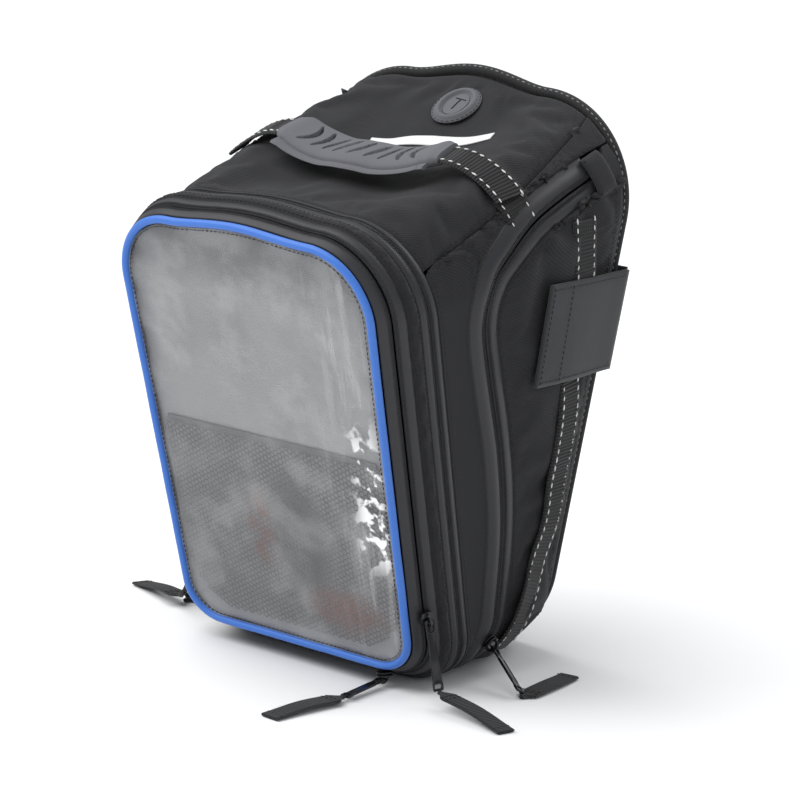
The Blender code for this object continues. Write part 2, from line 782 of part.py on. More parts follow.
def k_at_x(x, distance):
    """Corner parameter of the top panel at a sideways place and a distance from the base."""
    low, high = 3.0, 5.0
    for _ in range(30):
        middle = (low + high) / 2
        if wall_point(middle, share_from_base(middle, distance)).x > x:
            low = middle
        else:
            high = middle
    return low


def panel_frame(x, distance, turn=0.0, rise=0.0):
    """Frame on the top panel: X along +X, Y up the slope, Z outwards."""
    k = k_at_x(abs(x), distance)
    share = share_from_base(k, distance)
    place = wall_point(k, share)
    out = wall_normal(k, share)
    if x < 0:
        place.x = -place.x
        out.x = -out.x
    slope = Vector((0, 1, 0)) - out * out.y
    across = slope.cross(out).normalized()
    frame = frame_of(place + out * rise, across, out)
    return frame @ Matrix.Rotation(math.radians(turn), 4, "Z")


def port_oval(frame, height):
    """Points round the port's outline, raised above the panel."""
    points = []
    for step in range(PORT_SIDES):
        turn = 2 * math.pi * step / PORT_SIDES
        flat = Vector((PORT_HALF_WIDTH * math.cos(turn), PORT_HALF_LENGTH * math.sin(turn), height))
        points.append(frame @ flat)
    return points


def port_disc(name, frame, grow, low, high, finish, collection=PARTS):
    """Oval disc of the port's outline, grown by a distance, between two heights above the panel."""
    mesh = bpy.data.meshes.new(name)
    shape = bmesh.new()
    bmesh.ops.create_cone(
        shape, cap_ends=True, segments=PORT_SIDES, radius1=1, radius2=1, depth=high - low,
    )
    size = Matrix.Diagonal((PORT_HALF_WIDTH + grow, PORT_HALF_LENGTH + grow, 1, 1))
    lift = Matrix.Translation((0, 0, (low + high) / 2))
    bmesh.ops.transform(shape, matrix=lift @ size, verts=shape.verts)
    shape.to_mesh(mesh)
    shape.free()
    item = bpy.data.objects.new(name, mesh)
    item.matrix_world = frame
    collection.objects.link(item)
    if finish:
        dress(item, name, finish)
    return item


def make_port(panel):
    """Raised oval rim over a hole in the panel, with a slit membrane inside it."""
    frame = panel_frame(PORT_X, PORT_FROM_BASE)
    rim_height = PORT_LIFT + FIT_GAP + PORT_RIM_RADIUS
    ring_curve("cable_port_rim", port_oval(frame, rim_height), PORT_RIM_RADIUS, RUBBER)
    inner = -PORT_RIM_RADIUS - FIT_GAP
    top = PORT_LIFT + PORT_MEMBRANE
    membrane = port_disc("cable_port_membrane", frame, inner - PORT_LIP, PORT_LIFT, top, RUBBER)
    through_panel = 3 * WALL
    opening = port_disc(
        "port_opening", frame, inner, -through_panel, through_panel, None, CUTTERS,
    )
    cut(panel, opening)
    stem_length = PORT_HALF_LENGTH * PORT_SLIT_SHARE
    bar_length = PORT_HALF_WIDTH * PORT_SLIT_SHARE
    depth = 4 * PORT_MEMBRANE
    shift = Matrix.Translation((0, stem_length / 2 - PORT_SLIT / 4, 0))
    stem = box("port_slit_stem", (PORT_SLIT, stem_length, depth), frame, None, collection=CUTTERS)
    bar = box("port_slit_bar", (bar_length, PORT_SLIT, depth), frame @ shift, None, collection=CUTTERS)
    cut(membrane, stem)
    cut(membrane, bar)


def make_strip():
    rise = STRIP_GAP + STRIP_THICKNESS / 2
    rows = []
    turn = math.radians(STRIP_TURN)
    for edge in (-0.5, 0.5):
        row = []
        for step in range(9):
            along = (step / 8 - 0.5) * STRIP_LENGTH
            across = edge * STRIP_WIDTH
            x = STRIP_X + along * math.cos(turn) - across * math.sin(turn)
            distance = STRIP_FROM_BASE - along * math.sin(turn) - across * math.cos(turn)
            row.append(panel_frame(x, distance, rise=rise + STRIP_THICKNESS / 2).translation)
        rows.append(row[::-1])
    grid("reflective_strip", rows, PALE_TAPE, STRIP_THICKNESS)


def handle_point(x):
    """Centre of the handle's webbing at x, and the way up from it."""
    share = abs(x) / HANDLE_HALF_SPAN
    distance = HANDLE_FROM_BASE + (HANDLE_END_FROM_BASE - HANDLE_FROM_BASE) * share
    rise = HANDLE_RISE + (HANDLE_END_RISE - HANDLE_RISE) * smooth((share - 0.55) / 0.4)
    frame = panel_frame(x, distance, rise=rise)
    return frame.translation, frame.col[2].xyz


def handle_axis():
    end, _ = handle_point(HANDLE_HALF_SPAN)
    return Vector((0, end.y, end.z))


def sweep_flat(name, xs, width, thickness, finish, bevel=0.0, collection=PARTS):
    """Flat strip that follows the handle's line between the given stations."""
    rings = []
    for index, x in enumerate(xs):
        centre, up = handle_point(x)
        ahead, _ = handle_point(xs[min(index + 1, len(xs) - 1)])
        behind, _ = handle_point(xs[max(index - 1, 0)])
        along = (ahead - behind).normalized()
        across = up.cross(along).normalized()
        out = along.cross(across).normalized()
        w, t, b = width / 2, thickness / 2, bevel
        if bevel:
            quarter = ((w - b, t), (w, t - b), (w, b - t), (w - b, -t))
            flat = quarter + tuple((-x, -y) for x, y in quarter)
        else:
            flat = ((w, t), (w, -t), (-w, -t), (-w, t))
        rings.append([centre + across * a + out * c for a, c in flat])
    size = len(rings[0])
    points = [point for ring in rings for point in ring]
    faces = [tuple(range(size)), tuple(reversed(range((len(rings) - 1) * size, len(rings) * size)))]
    for ring in range(len(rings) - 1):
        for index in range(size):
            after = (index + 1) % size
            low, high = ring * size, (ring + 1) * size
            faces.append((low + after, low + index, high + index, high + after))
    mesh = mesh_from(name, points, faces)
    shape = bmesh.new()
    shape.from_mesh(mesh)
    bmesh.ops.recalc_face_normals(shape, faces=shape.faces)
    shape.to_mesh(mesh)
    shape.free()
    origin = handle_axis() if collection is PARTS else (0, 0, 0)
    return add_object(name, mesh, finish, origin, collection)


def mirrored(places):
    """Places from the middle outwards, carried on to the other side."""
    return [-x for x in reversed(places) if x > 0] + places


def make_handle():
    """Webbing strap over the top panel, inside a slotted moulded grip."""
    half = GRIP_LENGTH / 2
    inside = [half * step / 5 for step in range(6)]
    outside = [half + (HANDLE_HALF_SPAN - half) * step / 5 for step in range(1, 6)]
    past_end = [half * 1.1]
    sweep_flat("handle_webbing", mirrored(inside + outside), WEBBING_WIDTH, WEBBING_THICKNESS, WEBBING)
    grip = sweep_flat("handle_grip", mirrored(inside), GRIP_WIDTH, GRIP_THICKNESS, RUBBER, GRIP_BEVEL)
    slot = sweep_flat(
        "grip_slot", mirrored(inside + past_end), WEBBING_WIDTH + 2 * GRIP_SLOT_GAP,
        WEBBING_THICKNESS + 2 * GRIP_SLOT_GAP, None, collection=CUTTERS,
    )
    cut(grip, slot)


# ---------------------------------------------------------------------------------------------
# Zip sliders, pullers and fabric pull tabs


def lie_down(start, heading, length, end_height):
    """Direction from start, over the given level heading, that ends at a height above the floor."""
    drop = (end_height - start.z) / length
    level = Vector((heading[0], heading[1], 0)).normalized() * math.sqrt(1 - drop * drop)
    return Vector((level.x, level.y, drop))


def make_slider_body(name, frame):
    """Slider with a bail on top. Returns the middle of the bail's window."""
    lift = SLIDER_GAP + SLIDER_BODY / 2
    body_frame = frame @ Matrix.Translation((0, 0, lift))
    body_size = (SLIDER_LENGTH, SLIDER_WIDTH, SLIDER_BODY)
    body = box(f"{name}_slider", body_size, body_frame, DIE_CAST, SLIDER_BEVEL)
    top = lift + SLIDER_BODY / 2
    height = BAIL_HEIGHT + BAIL_THICKNESS + BAIL_SUNK
    bail_frame = frame @ Matrix.Translation((0, 0, top + height / 2 - BAIL_SUNK))
    bail = box(f"{name}_bail", (BAIL_LENGTH, BAIL_THICKNESS, height), bail_frame, None, collection=CUTTERS)
    window_frame = frame @ Matrix.Translation((0, 0, top + BAIL_HEIGHT / 2))
    window_size = (BAIL_LENGTH - 2 * BAIL_THICKNESS, 4 * BAIL_THICKNESS, BAIL_HEIGHT)
    window = box(f"{name}_bail_window", window_size, window_frame, None, collection=CUTTERS)
    cut(body, bail, "UNION")
    cut(body, window)
    return window_frame.translation


def make_pull(name, hinge, pull_way, across):
    """Die-cast puller: its end bar turns in the bail, and a slot at its other end holds the tab."""
    frame = frame_of(hinge, pull_way, pull_way.cross(across))
    size = (PULL_LENGTH + PULL_BAR / 2, PULL_WIDTH, PULL_THICKNESS)
    pull = box(f"{name}_pull", size, frame, DIE_CAST)
    pull.data.transform(Matrix.Translation((PULL_LENGTH / 2 - PULL_BAR / 4, 0, 0)))
    rounding = pull.modifiers.new("rounding", "BEVEL")
    rounding.width = PULL_BEVEL
    rounding.segments = 1
    eye_frame = frame @ Matrix.Translation(((PULL_BAR + PULL_EYE_LENGTH) / 2, 0, 0))
    eye_size = (PULL_EYE_LENGTH, PULL_EYE_WIDTH, 4 * PULL_THICKNESS)
    cut(pull, box(f"{name}_pull_eye", eye_size, eye_frame, None, collection=CUTTERS))
    slot_frame = frame @ Matrix.Translation((PULL_LENGTH - PULL_BAR - PULL_SLOT / 2, 0, 0))
    slot_size = (PULL_SLOT, PULL_EYE_WIDTH, 4 * PULL_THICKNESS)
    cut(pull, box(f"{name}_pull_slot", slot_size, slot_frame, None, collection=CUTTERS))


def make_pull_tab(name, joint, tab_way, across):
    frame = frame_of(joint, tab_way, tab_way.cross(across))
    size = (TAB_STRIP_LENGTH, TAB_STRIP_WIDTH, TAB_STRIP_THICKNESS)
    tab = box(f"{name}_pull_tab", size, frame, TWILL, TAB_STRIP_BEVEL)
    tab.data.transform(Matrix.Translation((TAB_STRIP_LENGTH / 2 + TAB_START, 0, 0)))


@dataclass(frozen=True)
class PullRoute:
    """How a puller and its tab lie: level headings, and the height of each one's far end."""

    pull_heading: tuple
    pull_end: float
    tab_heading: tuple
    tab_end: float
    tab_under: bool = False


def make_slider(name, seat, along, out, route):
    """Slider body on the zip at seat, its puller and the fabric tab on the puller's end."""
    frame = frame_of(seat, along, out)
    hinge = make_slider_body(name, frame)
    reach = PULL_LENGTH + PULL_GAP
    pull_way = lie_down(hinge, route.pull_heading, reach, route.pull_end)
    across = frame.col[1].xyz
    across = (across - pull_way * across.dot(pull_way)).normalized()
    make_pull(name, hinge, pull_way, across)
    joint = hinge + pull_way * reach
    if route.tab_under:
        joint.z = route.tab_end
    tab_way = lie_down(joint, route.tab_heading, TAB_STRIP_LENGTH, route.tab_end)
    tab_across = Vector((0, 0, 1)).cross(tab_way).normalized()
    make_pull_tab(name, joint, tab_way, tab_across)


def make_sliders(line):
    flat = TAB_STRIP_THICKNESS / 2 + FLOOR_CLEARANCE

    # Map zip, right side just above the bottom corner.
    u, depth = 2.08, LID_DEPTH + SEAM_GAP / 2
    seat = front_point(u, depth)
    down = front_point(u - 0.05, depth) - seat
    route = PullRoute((1, 0.1), 9 * MM, (1, -0.2), flat)
    make_slider("map_side", seat, down, front_normal(u, depth), route)

    # Map zip, free end of the run under the bottom right corner.
    u, depth = HINGE_HALF / FRONT_OUTLINE.point(1).x + 0.14, 6 * MM
    seat = front_point(u, depth)
    route = PullRoute((0.08, -1), 3 * MM, (-0.13, -1), flat)
    out = front_normal(u, depth)
    make_slider("map_foot", seat, Vector((0, -1, 0)), out, route)

    # Expansion zip, left side at the bottom corner.
    u, depth = 2 * HALF_LOOP - 2.05, SEAM_DEPTH - EXPANSION_BAND
    seat = front_point(u, depth)
    down = front_point(u + 0.05, depth) - seat
    route = PullRoute((-1, 0.3), 9 * MM, (-1, 0.4), flat)
    make_slider("expansion", seat, down, front_normal(u, depth), route)

    # Main zip, one slider on each side near the foot.
    index = min(range(len(line)), key=lambda i: abs(k_at(line[i].x) - 1.86))
    k = k_at(line[index].x)
    normal = wall_normal(k, line[index].y / wall_run(k))
    for side, hand in ((1, "right"), (-1, "left")):
        seat = on_wall(line[index], 0, side)
        down = on_wall(line[index - 1], 0, side) - seat
        down.y -= 0.35 * down.length
        out = Vector((side * normal.x, normal.y, normal.z))
        route = PullRoute((side, -0.5), 4.6 * MM, (side * -0.1, 1), flat, tab_under=True)
        make_slider(f"main_{hand}", seat, down, out, route)


make_map_lid()
make_front_section()
zip_centre, top_panel = make_walls()
make_garages(zip_centre)
make_base()
make_side_webbing()
make_wrap_tabs()
make_port(top_panel)
make_strip()
make_handle()
make_sliders(zip_centre)
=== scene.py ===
"""Looks of a motorcycle tank bag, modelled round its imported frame.

Metres, +Z up. The map window faces -Y, the base that lies on the tank faces +Y, and the shell is
symmetric about X = 0. Each sub-assembly is a class that builds its cloth, zips and fittings.
"""

import bisect
import logging
import math
from contextlib import contextmanager
from dataclasses import dataclass, field
from enum import Enum
from typing import Callable, Iterator, Optional, Sequence

import bmesh
import bpy
import numpy as np
from mathutils import Matrix, Vector, noise
from mathutils.bvhtree import BVHTree


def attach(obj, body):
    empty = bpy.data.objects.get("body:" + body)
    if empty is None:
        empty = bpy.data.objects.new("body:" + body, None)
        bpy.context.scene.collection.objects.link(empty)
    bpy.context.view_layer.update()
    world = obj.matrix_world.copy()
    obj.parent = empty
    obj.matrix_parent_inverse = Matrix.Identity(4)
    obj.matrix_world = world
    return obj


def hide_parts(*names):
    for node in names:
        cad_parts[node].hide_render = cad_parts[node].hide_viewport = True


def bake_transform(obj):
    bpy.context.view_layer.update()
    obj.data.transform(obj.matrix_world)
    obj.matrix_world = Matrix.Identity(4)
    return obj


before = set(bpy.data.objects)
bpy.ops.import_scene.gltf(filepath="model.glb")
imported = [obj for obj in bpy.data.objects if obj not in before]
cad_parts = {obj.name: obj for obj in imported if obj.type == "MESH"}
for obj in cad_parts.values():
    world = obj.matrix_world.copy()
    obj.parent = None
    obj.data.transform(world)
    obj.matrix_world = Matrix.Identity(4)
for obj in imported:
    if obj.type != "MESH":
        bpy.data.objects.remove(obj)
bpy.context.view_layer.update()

MM = 0.001
HALF_LOOP = 5
log = logging.getLogger("tank_bag")

# Overall shape, as in the frame: places in depth, lean, and how far the skin curves in or out.
BASE_Y = 70 * MM
FRONT_Y = -84 * MM
LEAN = 0.32
FRONT_INSET = 8 * MM
FRONT_INSET_RUN = 30 * MM
FOOT_LIFT = 12 * MM
FOOT_LIFT_RUN = 40 * MM
BULGE = 6 * MM
SAG = 20 * MM

# Cloth and clearances.
WALL = 4 * MM
TAPE = 2 * MM
SEAM_GAP = 1 * MM
FIT_GAP = 0.4 * MM
LAY_GAP = 2.1 * MM
SLIDER_GAP = 1.5 * MM

# Bands of the front section, as distances behind the map face.
PIPING_RADIUS = 3 * MM
LID_DEPTH = 14 * MM
FRONT_TAPE_END = 23 * MM
EXPANSION_BAND = 7 * MM
SEAM_DEPTH = 50 * MM
EXPANSION_TRAVEL = 35 * MM
SLEEVE_INSET = 14 * MM
SLEEVE_START = 38 * MM
ORGANISER_FLOOR_DEPTH = 41 * MM
WALL_END = 11 * MM
LOWER_WALL_END = 8.3 * MM
BINDING_RADIUS = 4 * MM
HANDLE_END_FROM_BASE = 118 * MM
STITCH_OFFSET = 9.3 * MM
FACE_OUT = (0, -0.952, -0.305)
HINGE_HALF = 58 * MM
MESH_TOP = 152 * MM

# Main zip and shoulder seam: corner parameter, and share of the way from the seam to the base.
ZIP_PATH = (
    (0.0, 0.19), (1.0, 0.19), (1.5, 0.19), (1.8, 0.215), (2.02, 0.27), (2.28, 0.315), (2.52, 0.29),
    (2.75, 0.24), (2.92, 0.22), (3.08, 0.27), (3.2, 0.36), (3.29, 0.48), (3.33, 0.64), (3.35, 0.82),
)
MAIN_TAPE_UPPER = 13 * MM
MAIN_TAPE_LOWER = 9 * MM
SHOULDER_SEAM = ((3.35, 0.0), (3.42, 0.3), (3.49, 0.52), (3.68, 1.0))
SIDE_WEBBING_PATH = (
    (3.17, 57 * MM), (2.95, 55 * MM), (2.65, 48 * MM), (2.42, 46 * MM), (2.26, 46 * MM),
    (2.12, 52 * MM), (1.95, 62 * MM), (1.62, 70 * MM),
)
WEBBING_WIDTH = 25 * MM
WEBBING_THICKNESS = 1.6 * MM
SIDES = ((1, "right"), (-1, "left"))


def smooth(value: float) -> float:
    """Ease from 0 to 1, flat at both ends."""
    value = min(max(value, 0.0), 1.0)
    return value * value * (3 - 2 * value)


# ---------------------------------------------------------------------------------------------
# Shader trees


class Signal:
    """Socket of a shader tree that can be used in Python sums."""

    def __init__(self, tree: "ShaderTree", socket: bpy.types.NodeSocket) -> None:
        """Wrap one output socket of a tree."""
        self.tree = tree
        self.socket = socket

    def _math(self, operation: str, first: object, second: object) -> "Signal":
        """Add a Math node for two values, either of which may be a number."""
        node = self.tree.node("ShaderNodeMath", {"operation": operation}, {0: first, 1: second})
        return Signal(self.tree, node.outputs[0])

    def __add__(self, other: object) -> "Signal":
        """Sum."""
        return self._math("ADD", self, other)

    def __radd__(self, other: object) -> "Signal":
        """Sum with a number on the left."""
        return self._math("ADD", other, self)

    def __sub__(self, other: object) -> "Signal":
        """Difference."""
        return self._math("SUBTRACT", self, other)

    def __rsub__(self, other: object) -> "Signal":
        """Difference from a number on the left."""
        return self._math("SUBTRACT", other, self)

    def __mul__(self, other: object) -> "Signal":
        """Product."""
        return self._math("MULTIPLY", self, other)

    def __rmul__(self, other: object) -> "Signal":
        """Product with a number on the left."""
        return self._math("MULTIPLY", other, self)

    def wave(self) -> "Signal":
        """Sine of the value, moved into 0..1."""
        return self._math("SINE", self, 0.0) * 0.5 + 0.5

    def above(self, low: float, high: float) -> "Signal":
        """Smooth step that rises from 0 at low to 1 at high."""
        node = self.tree.node(
            "ShaderNodeMapRange", {"interpolation_type": "SMOOTHSTEP"},
            {"Value": self, "From Min": low, "From Max": high},
        )
        return Signal(self.tree, node.outputs["Result"])


class ShaderTree:
    """Node tree of one material, with short ways to add its nodes."""

    def __init__(self, name: str) -> None:
        """Start a material with a Principled shader."""
        self.material = bpy.data.materials.new(name)
        self.material.use_nodes = True
        self.nodes = self.material.node_tree.nodes
        self.links = self.material.node_tree.links
        self.shader = self.nodes["Principled BSDF"]

    def node(self, kind: str, settings: dict, inputs: dict) -> bpy.types.Node:
        """Add a node.

        Args:
            kind: the node's type name.
            settings: attributes that are set first.
            inputs: socket name or index to a number, colour, Signal or socket.

        Returns:
            The new node.
        """
        made = self.nodes.new(kind)
        for key, value in settings.items():
            setattr(made, key, value)
        for key, value in inputs.items():
            self.feed(made.inputs[key], value)
        return made

    def feed(self, socket: bpy.types.NodeSocket, value: object) -> None:
        """Link a Signal or an output socket to a socket, or set the socket's own value."""
        if isinstance(value, Signal):
            self.links.new(value.socket, socket)
        elif isinstance(value, bpy.types.NodeSocket):
            self.links.new(value, socket)
        else:
            socket.default_value = value

    def place(self, on_surface: bool) -> bpy.types.NodeSocket:
        """Coordinates in metres: the piece's own UV map, or object coordinates."""
        made = self.node("ShaderNodeTexCoord", {}, {})
        return made.outputs["UV" if on_surface else "Object"]

    def parts(self, vector: bpy.types.NodeSocket) -> tuple[Signal, Signal, Signal]:
        """Split a vector into its three numbers."""
        made = self.node("ShaderNodeSeparateXYZ", {}, {0: vector})
        return tuple(Signal(self, made.outputs[index]) for index in range(3))

    def cloud(self, vector: object, size: float, detail: float = 3.0) -> Signal:
        """Noise in 0..1 with features of about the given size in metres."""
        made = self.node(
            "ShaderNodeTexNoise", {}, {"Vector": vector, "Scale": 1 / size, "Detail": detail},
        )
        return Signal(self, made.outputs["Fac"])

    def blend(self, factor: object, first: tuple, second: tuple) -> bpy.types.NodeSocket:
        """Mix two colours by a factor."""
        made = self.node(
            "ShaderNodeMix", {"data_type": "RGBA"},
            {"Factor": factor, 6: (*first, 1.0), 7: (*second, 1.0)},
        )
        return made.outputs[2]

    def relief(self, height: Signal, distance: float, strength: float = 1.0) -> None:
        """Feed the shader's normal from a height in 0..1 that stands distance metres tall."""
        made = self.node(
            "ShaderNodeBump", {}, {"Height": height, "Distance": distance, "Strength": strength},
        )
        self.links.new(made.outputs["Normal"], self.shader.inputs["Normal"])


class Weave(Enum):
    """How a cloth is woven, which sets its fine relief."""

    TWILL = "twill"
    PLAIN = "plain"
    RIB = "rib"
    SATIN = "satin"
    LOOP = "loop"


@dataclass(frozen=True)
class Finish:
    """What a piece is made of."""

    name: str

    def material(self) -> bpy.types.Material:
        """Make the material, or return the one made before."""
        if self.name in bpy.data.materials:
            return bpy.data.materials[self.name]
        tree = ShaderTree(self.name)
        self.dress(tree)
        return tree.material

    def dress(self, tree: ShaderTree) -> None:
        """Feed the shader of a new tree."""
        raise NotImplementedError


@dataclass(frozen=True)
class ClothFinish(Finish):
    """Woven or knitted cloth."""

    colour: tuple[float, float, float]
    weave: Weave
    pitch: float
    depth: float
    roughness: float = 0.85
    mottle: float = 0.3
    sheen: float = 0.15
    contrast: float = 0.3
    on_surface: bool = True

    def height(self, tree: ShaderTree, x: Signal, y: Signal, place: object) -> Signal:
        """Relief of the weave in 0..1.

        Args:
            tree: the tree that the nodes go in.
            x: metres across the cloth.
            y: metres along the cloth.
            place: the coordinates that x and y come from.

        Returns:
            Height of the threads.
        """
        turn = 2 * math.pi / self.pitch
        if self.weave is Weave.TWILL:
            rib = ((x + y) * (turn * 0.7071)).wave()
            return rib * (((x - y) * (turn * 1.55)).wave() * 0.35 + 0.65)
        if self.weave is Weave.PLAIN:
            return (x * turn).wave() * 0.5 + (y * turn).wave() * 0.5
        if self.weave is Weave.RIB:
            return (y * turn).wave() * ((x * (turn * 1.3)).wave() * 0.2 + 0.8)
        if self.weave is Weave.SATIN:
            return ((x - y * 0.4) * turn).wave() * 0.6 + tree.cloud(place, self.pitch * 3) * 0.4
        return tree.cloud(place, self.pitch, 2.0)

    def dress(self, tree: ShaderTree) -> None:
        """Feed the shader of a new tree."""
        place = tree.place(self.on_surface)
        x, y, z = tree.parts(place)
        if not self.on_surface:
            x, y = x + y, z
        height = self.height(tree, x, y, place)
        worn = tree.cloud(place, 45 * MM) * 0.5 + tree.cloud(place, 1.9 * MM, 2.0) * 0.5
        tone = (worn - 0.5) * self.mottle + height * self.contrast + (0.5 - self.contrast / 2)
        dark = tuple(part * 0.45 for part in self.colour)
        light = tuple(min(part * 1.55, 1.0) for part in self.colour)
        tree.feed(tree.shader.inputs["Base Color"], tree.blend(tone, dark, light))
        tree.feed(tree.shader.inputs["Roughness"], worn * 0.14 + (self.roughness - 0.07))
        tree.shader.inputs["Sheen Weight"].default_value = self.sheen
        tree.shader.inputs["Sheen Roughness"].default_value = 0.4
        tree.shader.inputs["Specular IOR Level"].default_value = 0.35
        tree.relief(height, self.depth)


@dataclass(frozen=True)
class MouldedFinish(Finish):
    """Moulded, cast or extruded plastic, rubber or metal."""

    colour: tuple[float, float, float]
    roughness: float
    metallic: float = 0.0
    coat: float = 0.0
    grain: float = 0.0
    grain_size: float = 1.2 * MM
    wear: float = 0.1
    gloss: float = 0.3

    def dress(self, tree: ShaderTree) -> None:
        """Feed the shader of a new tree."""
        place = tree.place(False)
        fine = tree.cloud(place, self.grain_size, 4.0)
        broad = tree.cloud(place, 12 * MM)
        tone = broad * self.wear + fine * self.wear + (0.5 - self.wear)
        dark = tuple(part * 0.6 for part in self.colour)
        light = tuple(min(part * 1.4, 1.0) for part in self.colour)
        tree.feed(tree.shader.inputs["Base Color"], tree.blend(tone, dark, light))
        tree.feed(tree.shader.inputs["Roughness"], broad * 0.16 + (self.roughness - 0.08))
        tree.shader.inputs["Metallic"].default_value = self.metallic
        tree.shader.inputs["Specular IOR Level"].default_value = self.gloss
        tree.shader.inputs["Coat Weight"].default_value = self.coat
        tree.shader.inputs["Coat Roughness"].default_value = 0.12
        if self.grain:
            tree.relief(fine, self.grain)


@dataclass(frozen=True)
class FilmFinish(Finish):
    """Clear vinyl film with a slight haze and smears, painted glare streaks and painted white glints."""

    colour: tuple[float, float, float]
    alpha: float
    haze: float

    def dress(self, tree: ShaderTree) -> None:
        """Feed the shader of a new tree."""
        place = tree.place(False)
        smear = tree.cloud(place, 30 * MM, 5.0).above(0.42, 0.72)
        x, _, z = tree.parts(place)
        # Painted glare: pale vertical streaks of extra opacity on the film's right side, which also raise its
        # ripples.
        glare_streak_place = tree.node("ShaderNodeCombineXYZ", {}, {0: x * 9.0, 1: z}).outputs[0]
        glare_streak = tree.cloud(glare_streak_place, 60 * MM, 4.0).above(0.5, 0.68) * x.above(0.03, 0.075)
        # Painted glints: white patches on the film's right side that stand in for reflections of the lights.
        glint_region = x.above(0.058, 0.074) * (1 - x.above(0.084, 0.093))
        glint_region = glint_region * z.above(0.07, 0.1) * (1 - z.above(0.15, 0.2))
        painted_glint = tree.cloud(place, 11 * MM, 6.0).above(0.5, 0.58) * glint_region
        tree.feed(tree.shader.inputs["Base Color"], tree.blend(painted_glint, self.colour, (0.95, 0.95, 0.95)))
        tree.feed(tree.shader.inputs["Roughness"], smear * 0.1 + 0.05)
        # Opacity: the film's own haze and smears, plus the painted glare streaks.
        haze = smear * self.haze + glare_streak * 0.22 + self.alpha
        # The painted glints also make the film nearly opaque white there.
        tree.feed(tree.shader.inputs["Alpha"], haze + painted_glint * 0.75)
        tree.shader.inputs["IOR"].default_value = 1.75
        tree.shader.inputs["Coat Weight"].default_value = 1.0
        tree.shader.inputs["Coat Roughness"].default_value = 0.03
        ripple = tree.cloud(place, 26 * MM, 2.0) * 0.7 + glare_streak * 0.3
        tree.relief(ripple, 0.9 * MM)


@dataclass(frozen=True)
class BackingFinish(Finish):
    """Grey cloth behind the map window, with painted shade along its side and top edges under the piping,
    darker towards the bottom, and faint warm and dark stains.
    """

    colour: tuple[float, float, float]
    stain: tuple[float, float, float]
    # Dark tone of the dark stain and of the painted edge shade.
    stain_and_shade: tuple[float, float, float]

    @staticmethod
    def spot(x: Signal, z: Signal, centre: tuple[float, float], reach: tuple[float, float]) -> Signal:
        """Soft oval patch, 1 in its middle and 0 at its reach."""
        across, up = (x - centre[0]) * (1 / reach[0]), (z - centre[1]) * (1 / reach[1])
        return 1 - (across * across + up * up).above(0.05, 1.0)

    def dress(self, tree: ShaderTree) -> None:
        """Feed the shader of a new tree."""
        place = tree.place(False)
        x, _, z = tree.parts(place)
        weave = (x * 4200.0).wave() * 0.5 + (z * 4200.0).wave() * 0.5
        cloud = tree.cloud(place, 55 * MM, 3.0)
        ragged = tree.cloud(place, 14 * MM, 4.0)
        warm = self.spot(x, z, (0.042, 0.045), (0.04, 0.02)) + self.spot(x, z, (-0.02, 0.09), (0.014, 0.035))
        warm = warm * ragged.above(0.3, 0.6)
        # Dark stain in the middle, and darker towards the bottom.
        dark = self.spot(x, z, (0.012, 0.09), (0.03, 0.05)) * 0.55 + (1 - z.above(0.0, 0.15)) * 0.15
        # Painted shade along the left and right edges under the piping, plus random mottle from the cloud.
        edge = (x * x).above(0.0062, 0.0096) * 0.75 + cloud.above(0.5, 0.8) * 0.2
        # Painted shade along the top edge as well, and the weave's own tone.
        dark = dark + edge + weave * 0.1 + z.above(0.235, 0.285) * 0.8
        base = tree.blend(dark, self.colour, self.stain_and_shade)
        mixed = tree.node("ShaderNodeMix", {"data_type": "RGBA"}, {"Factor": warm * 0.8, 6: base})
        mixed.inputs[7].default_value = (*self.stain, 1.0)
        tree.links.new(mixed.outputs[2], tree.shader.inputs["Base Color"])
        tree.shader.inputs["Roughness"].default_value = 0.75
        tree.relief(weave, 0.12 * MM)


TWILL = ClothFinish("black_twill", (0.017, 0.017, 0.019), Weave.TWILL, 1.5 * MM, 0.16 * MM, 0.9, 0.55, 0.06)
LINING = ClothFinish("woven_lining", (0.016, 0.016, 0.018), Weave.PLAIN, 1.3 * MM, 0.15 * MM, 0.9)
SATIN_TAPE = ClothFinish(
    "satin_zip_tape", (0.021, 0.021, 0.025), Weave.SATIN, 0.9 * MM, 0.06 * MM, 0.44, 0.25, 0.03,
)
WEBBING = ClothFinish(
    "ribbed_webbing", (0.010, 0.010, 0.011), Weave.RIB, 2.6 * MM, 0.5 * MM, 0.8, 0.2, contrast=0.8,
)
BINDING = ClothFinish("ribbed_binding", (0.011, 0.011, 0.012), Weave.RIB, 1.2 * MM, 0.2 * MM, 0.75, 0.2)
GROSGRAIN = ClothFinish("grosgrain_tab", (0.013, 0.013, 0.014), Weave.RIB, 1.9 * MM, 0.35 * MM, 0.8, 0.25)
TAB_CLOTH = ClothFinish("brushed_tab_cloth", (0.036, 0.037, 0.041), Weave.LOOP, 0.9 * MM, 0.15 * MM, 0.9)
HOOK_CLOTH = ClothFinish("hook_fastener", (0.015, 0.015, 0.016), Weave.PLAIN, 1.6 * MM, 0.5 * MM, 0.6)
BLACK_THREAD = MouldedFinish("black_thread", (0.012, 0.012, 0.013), 0.6)
GREY_THREAD = MouldedFinish("grey_thread", (0.2, 0.2, 0.2), 0.5, wear=0.4)
PALE_THREAD = MouldedFinish("reflective_thread", (0.62, 0.62, 0.6), 0.45, wear=0.2)
TAPE_RIDGE = MouldedFinish("tape_ridge", (0.016, 0.016, 0.018), 0.38)
RUBBER = MouldedFinish("moulded_rubber", (0.008, 0.008, 0.008), 0.36, grain=0.05 * MM, gloss=0.14)
PAD_RUBBER = MouldedFinish("nonslip_rubber", (0.014, 0.014, 0.015), 0.75, grain=0.12 * MM)
